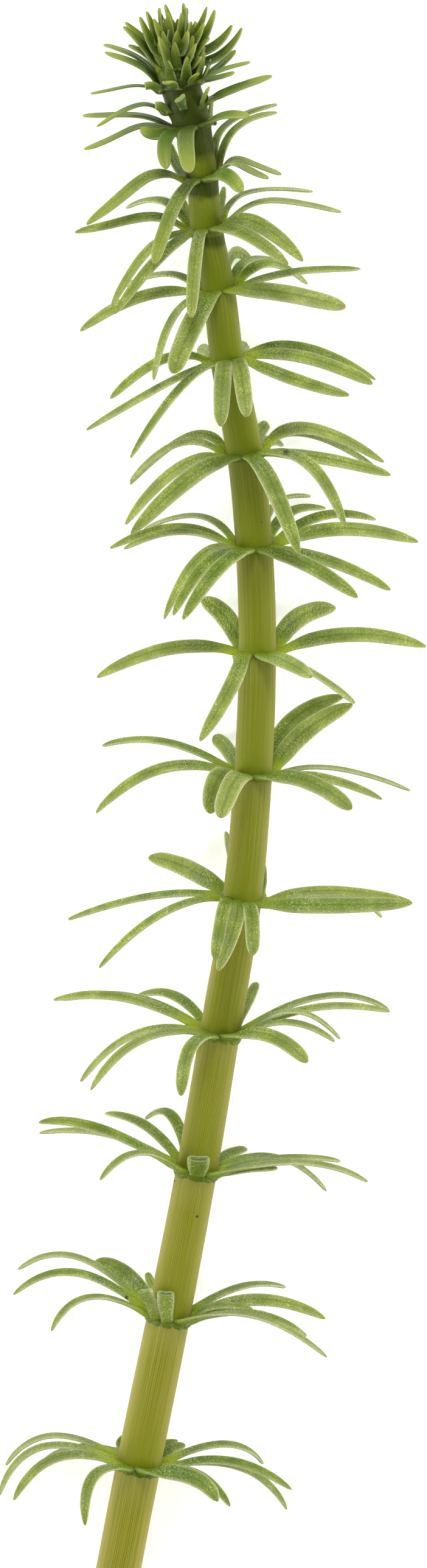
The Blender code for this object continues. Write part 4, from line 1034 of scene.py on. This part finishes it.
def leaf_material(name, deep, middle, pale, lime, relief, coat, gloss):
    """Green leaf tissue: mottled, with pale flecks, pale margins that are partly painted rim light, a
    hammered gloss with painted glints near its base, painted shade in its furrow, on its lobes and on
    leaves that face front or back, and a painted glow at the bases of the side leaves.

    deep, middle, pale and lime are its greens, and relief is how bumpy it is.
    """
    material, tree = new_material(name)
    where = add(tree, "ShaderNodeTexCoord").outputs["Object"]
    share, tone, aside, dusk = (attribute(tree, n) for n in ("along", "tone", "aside", "dusk"))
    edge = math_node(tree, "ABSOLUTE", attribute(tree, "across"))
    older = without(tree, times(tree, dusk, 0.75))
    grown = without(tree, times(tree, dusk, dusk, 0.85))
    top_side = rising(tree, attribute(tree, "upper"), 0.0, 0.3)
    patches = noise_at(tree, where, 420.0)
    grain = noise_at(tree, where, 6500.0, 3.0, 0.65)
    specks = noise_at(tree, where, 6000.0, distortion=0.4)
    worn = noise_at(tree, where, 1500.0, 3.0, 0.65)
    inward = ramp(tree, share, ((0.25, 0.85), (0.9, 0.5)))
    open_crown = ramp(tree, dusk, ((0.0, 1.0), (1.0, 0.3)))
    outer = times(tree, ramp(tree, share, ((0.1, 0.1), (0.45, 0.7), (1.0, 1.0))), grown)
    mottle = rising(tree, grain, 0.38, 0.62)
    flecks = times(tree, rising(tree, specks, 0.54, 0.64), rising(tree, patches, 0.46, 0.64))
    low_down = part_way(tree, coordinate(tree, where, "Y"), *LOW_LEAVES)
    scuffs = times(tree, rising(tree, worn, 0.56, 0.66), falling(tree, edge, 0.3, 0.75))
    furrow = ramp(tree, edge, ((0.0, 1.0), (0.1, 0.6), (0.22, 0.0)))
    bloom = ramp(tree, share, ((0.2, 0.0), (0.7, 0.55), (1.0, 1.0)))
    young_end = rising(tree, share, 0.55, 1.0)
    # Pale margins, partly the leaf's own pale edge and partly painted rim light.
    rim = ramp(tree, edge, ((0.6, 0.0), (0.87, 0.35), (0.985, 1.0)))
    bend_share = ramp(tree, share, ((0.02, 0.0), (0.1, 1.0), (0.26, 0.7), (0.5, 0.0)))
    # Painted glints: pale specks on the upper side near the base, where highlights would fall.
    glints = times(tree, rising(tree, specks, 0.55, 0.63), bend_share)
    near_stem = ramp(tree, share, ((0.0, 1.0), (0.08, 0.75), (0.3, 0.0)))
    # Painted glow of light shining through the bases of the side leaves.
    base_glow_share = ramp(tree, share, ((0.0, 1.0), (0.06, 0.9), (0.17, 0.0)))
    shade = times(tree, ramp(tree, share, ((0.0, 0.9), (0.14, 0.8), (0.36, 0.0))), dusk)
    coats = (
        (FRESH_GREEN, dusk, inward),
        # Painted shade: leaves that don't point to the sides are darkened.
        (deep, without(tree, aside), 0.4),
        (pale, tone, open_crown, 0.22),
        (lime, mottle, grown, 0.32),
        (pale, flecks, outer, 0.95),
        (deep, low_down, 0.3),
        (SCUFF, scuffs, outer, 0.22),
        # Painted shade in the furrow along the middle of the upper side.
        (deep, furrow, top_side, grown, 0.5),
        (BLOOM, bloom, older, 0.22),
        (YOUNG_END, young_end, dusk, 0.7),
        (PALE_MARGIN_AND_RIM_LIGHT, rim, older, 0.9),
        (PAINTED_GLINT, glints, grown, top_side, 0.75),
        # Lime near the stem: partly the base's own colour and partly painted glow of light through it.
        (lime, near_stem, 0.5),
        (BACKLIT_BASE_GLOW, base_glow_share, aside, 0.85),
        (BROWN_TIP, rising(tree, share, 0.97, 0.995), tone, 0.9),
        # Painted shade on the lobes under the leaf bases.
        (deep, attribute(tree, "lobe"), 0.3),
        (DEEP_SHADE, shade),
        (CUT_FACE, attribute(tree, "dry")),
    )
    body = mix(tree, ramp(tree, patches, ((0.3, 0.1), (0.7, 1.0))), deep, middle)
    colour = marked(tree, where, coated(tree, body, coats), LEAF_MARKS, LEAF_STAIN)
    wetness = ramp(tree, grain, ((0.3, 0.22), (0.7, 0.34)))
    rough = math_node(tree, "ADD", wetness, times(tree, dusk, 0.16))
    glow = mix(tree, 0.65, colour, lime)
    thin = ramp(tree, share, ((0.0, 0.62), (0.12, 0.5), (0.35, 0.3)))
    through = times(tree, thin, without(tree, shade))
    cells = {"Vector": where, "Scale": 4600.0, "Smoothness": 0.8}
    pits = add(tree, "ShaderNodeTexVoronoi", cells, feature="SMOOTH_F1").outputs["Distance"]
    swells = noise_at(tree, where, 2200.0)
    fine = (times(tree, pits, grown), 0.00018 * relief, 0.8)
    coarse = (times(tree, swells, grown), 0.00024 * relief, 0.55)
    finish_material(tree, colour, (fine, coarse), rough, glow, through, coat, gloss, 0.06)
    return material


def stem_material():
    """Stem tissue: lime just above a joint, paler and finely lined below the next one."""
    material, tree = new_material("stem_tissue")
    where = add(tree, "ShaderNodeTexCoord").outputs["Object"]
    swatch = add(tree, "ShaderNodeUVMap", uv_map="UVMap").outputs["UV"]
    height = coordinate(tree, where, "Y")
    turn = coordinate(tree, swatch, "X")
    streaks = noise_at(tree, stretched(tree, swatch, (210.0, 9.0, 1.0)), 1.0)
    wander = noise_at(tree, stretched(tree, swatch, (24.0, 14.0, 1.0)), 1.0)
    phase = math_node(tree, "ADD", times(tree, turn, math.tau * LINES), times(tree, wander, 5.0))
    lines = math_node(tree, "ADD", times(tree, math_node(tree, "SINE", phase), 0.1), streaks)
    above = math_node(tree, "DIVIDE", attribute(tree, "above_joint"), 16.0)
    rise = ramp(tree, above, ((0.0, 0.0), (0.12, 0.5), (0.5, 1.0)))
    below = math_node(tree, "DIVIDE", attribute(tree, "below_joint"), 5.0)
    flush = ramp(tree, below, ((0.0, 1.0), (0.5, 0.5), (1.0, 0.0)))
    # The stem's two sides, left and right as seen from above, are painted paler as light shining
    # through them.
    facing = math_node(tree, "SINE", times(tree, turn, math.tau))
    sides = rising(tree, math_node(tree, "ABSOLUTE", facing), 0.6, 0.98)
    climb = part_way(tree, height, *STEM_CLIMB)
    bowed = math_node(tree, "ADD", height, times(tree, coordinate(tree, where, "Z"), 0.45))
    blur = times(tree, noise_at(tree, where, 600.0), 0.0012)
    bands = ramp(tree, part_way(tree, math_node(tree, "ADD", bowed, blur), *BANDED), BANDS)
    body = mix(tree, rise, LIME, OLIVE)
    crests = (CREAM, rising(tree, lines, 0.44, 0.66), 0.42)
    valleys = (BROWN, falling(tree, lines, 0.32, 0.5), 0.35)
    coats = (
        (coated(tree, body, (crests, valleys)), rise),
        (CREAM, flush, 0.4),
        (PAINTED_FLANK_LIGHT, sides, 0.5),
        (UPPER_GREEN, climb, 0.58),
        (DARK_BAND, bands, 0.88),
    )
    colour = marked(tree, where, coated(tree, body, coats), STEM_MARKS, STEM_STAIN)
    grain = noise_at(tree, where, 4500.0)
    rough = ramp(tree, grain, ((0.3, 0.34), (0.7, 0.5)))
    glow = mix(tree, times(tree, bands, 0.8), mix(tree, 0.5, colour, STEM_GLOW), BAND_GLOW)
    relief = times(tree, lines, without(tree, times(tree, bands, 0.8)))
    bumps = ((relief, 0.00012, 0.5), (grain, 0.00006, 0.4))
    finish_material(tree, colour, bumps, rough, glow, 0.25, 0.0, 0.1, 0.3)
    return material


def show(name, content):
    """An object in the scene with this mesh, lamp or camera."""
    item = bpy.data.objects.new(name, content)
    bpy.context.scene.collection.objects.link(item)
    return item


def mesh_from(name, bm, material):
    mesh = bpy.data.meshes.new(name)
    bm.to_mesh(mesh)
    bm.free()
    mesh.materials.append(material)
    return mesh


def add_piece(name, bm, material, smooth):
    """Makes a finished mesh a piece of the object, where its solid is."""
    bmesh.ops.recalc_face_normals(bm, faces=bm.faces)
    mesh = mesh_from(name, bm, material)
    mesh.shade_smooth()
    piece = show(name, mesh)
    if smooth:
        finer = piece.modifiers.new("smoother", "SUBSURF")
        finer.levels = 1
        finer.render_levels = 1
    return piece


def add_floor():
    bm = bmesh.new()
    bmesh.ops.create_grid(bm, x_segments=4, y_segments=4, size=1.5)
    material, tree = new_material("pale_floor")
    shader = add(tree, "ShaderNodeBsdfPrincipled", {"Base Color": (0.96, 0.96, 0.96, 1)})
    shader.inputs["Roughness"].default_value = 0.9
    shader.inputs["Emission Color"].default_value = (1, 1, 1, 1)
    shader.inputs["Emission Strength"].default_value = 0.4
    add(tree, "ShaderNodeOutputMaterial", {"Surface": shader.outputs[0]})
    floor = show("floor", mesh_from("floor", bm, material))


def add_light(name, where, size, watts, lean, tilt):
    """A square lamp, turned from straight down by lean about the X and tilt about the Y axis."""
    light = bpy.data.lights.new(name, "AREA")
    light.shape = "SQUARE"
    light.size = size
    light.energy = watts
    lamp = show(name, light)
    lamp.location = where
    lamp.rotation_euler = (math.radians(lean), math.radians(tilt), 0)


def add_camera_and_lights():
    view = bpy.data.cameras.new("camera")
    view.sensor_width = SENSOR
    view.lens = SENSOR * CAMERA_HEIGHT / PICTURE_LENGTH
    view.clip_start = 0.05
    view.clip_end = 20
    camera = show("camera", view)
    camera.location = place(0.0, 0.0, STEM_HEIGHT) * MM + Vector((0, 0, CAMERA_HEIGHT))
    bpy.context.scene.camera = camera
    add_light("crown_light", (0.0, 1.25, 1.0), 0.4, 11, -51, 0)
    add_light("left_light", (-1.2, -0.1, 0.42), 0.7, 13, 0, -69)
    add_light("right_light", (1.2, -0.1, 0.42), 0.7, 13, 0, 69)
    world = bpy.data.worlds.new("studio")
    world.use_nodes = True
    background = world.node_tree.nodes["Background"]
    background.inputs["Color"].default_value = (1, 1, 1, 1)
    background.inputs["Strength"].default_value = 0.5
    bpy.context.scene.view_settings.view_transform = "Standard"
    bpy.context.scene.world = world


def main():
    noise.seed_set(LUMP_SEED)
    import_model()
    leaf_green = leaf_material(
        "leaf_tissue",
        deep=(0.04, 0.11, 0.001),
        middle=(0.235, 0.36, 0.005),
        pale=(0.92, 0.86, 0.34),
        lime=(0.38, 0.52, 0.004),
        relief=0.8,
        coat=0.12,
        gloss=0.42,
    )
    young_green = leaf_material(
        "young_leaf_tissue",
        deep=(0.015, 0.042, 0.001),
        middle=(0.062, 0.135, 0.001),
        pale=(0.4, 0.46, 0.06),
        lime=(0.26, 0.38, 0.004),
        relief=0.5,
        coat=0.0,
        gloss=0.12,
    )
    stem = add_piece("stem_tissue", stem_mesh(), stem_material(), False)
    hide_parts("stem")
    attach(stem, "root")
    for number in range(len(WHORLS)):
        node = f"whorl_{number + 1:02d}"
        piece = add_piece(node + "_leaves", whorl_mesh(number), leaf_green, True)
        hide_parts(node)
        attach(piece, "root")
    tip = add_piece("growing_tip_leaves", bud_mesh(), young_green, True)
    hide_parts("growing_tip")
    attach(tip, "root")
    add_floor()
    add_camera_and_lights()
    bpy.context.view_layer.update()


main()
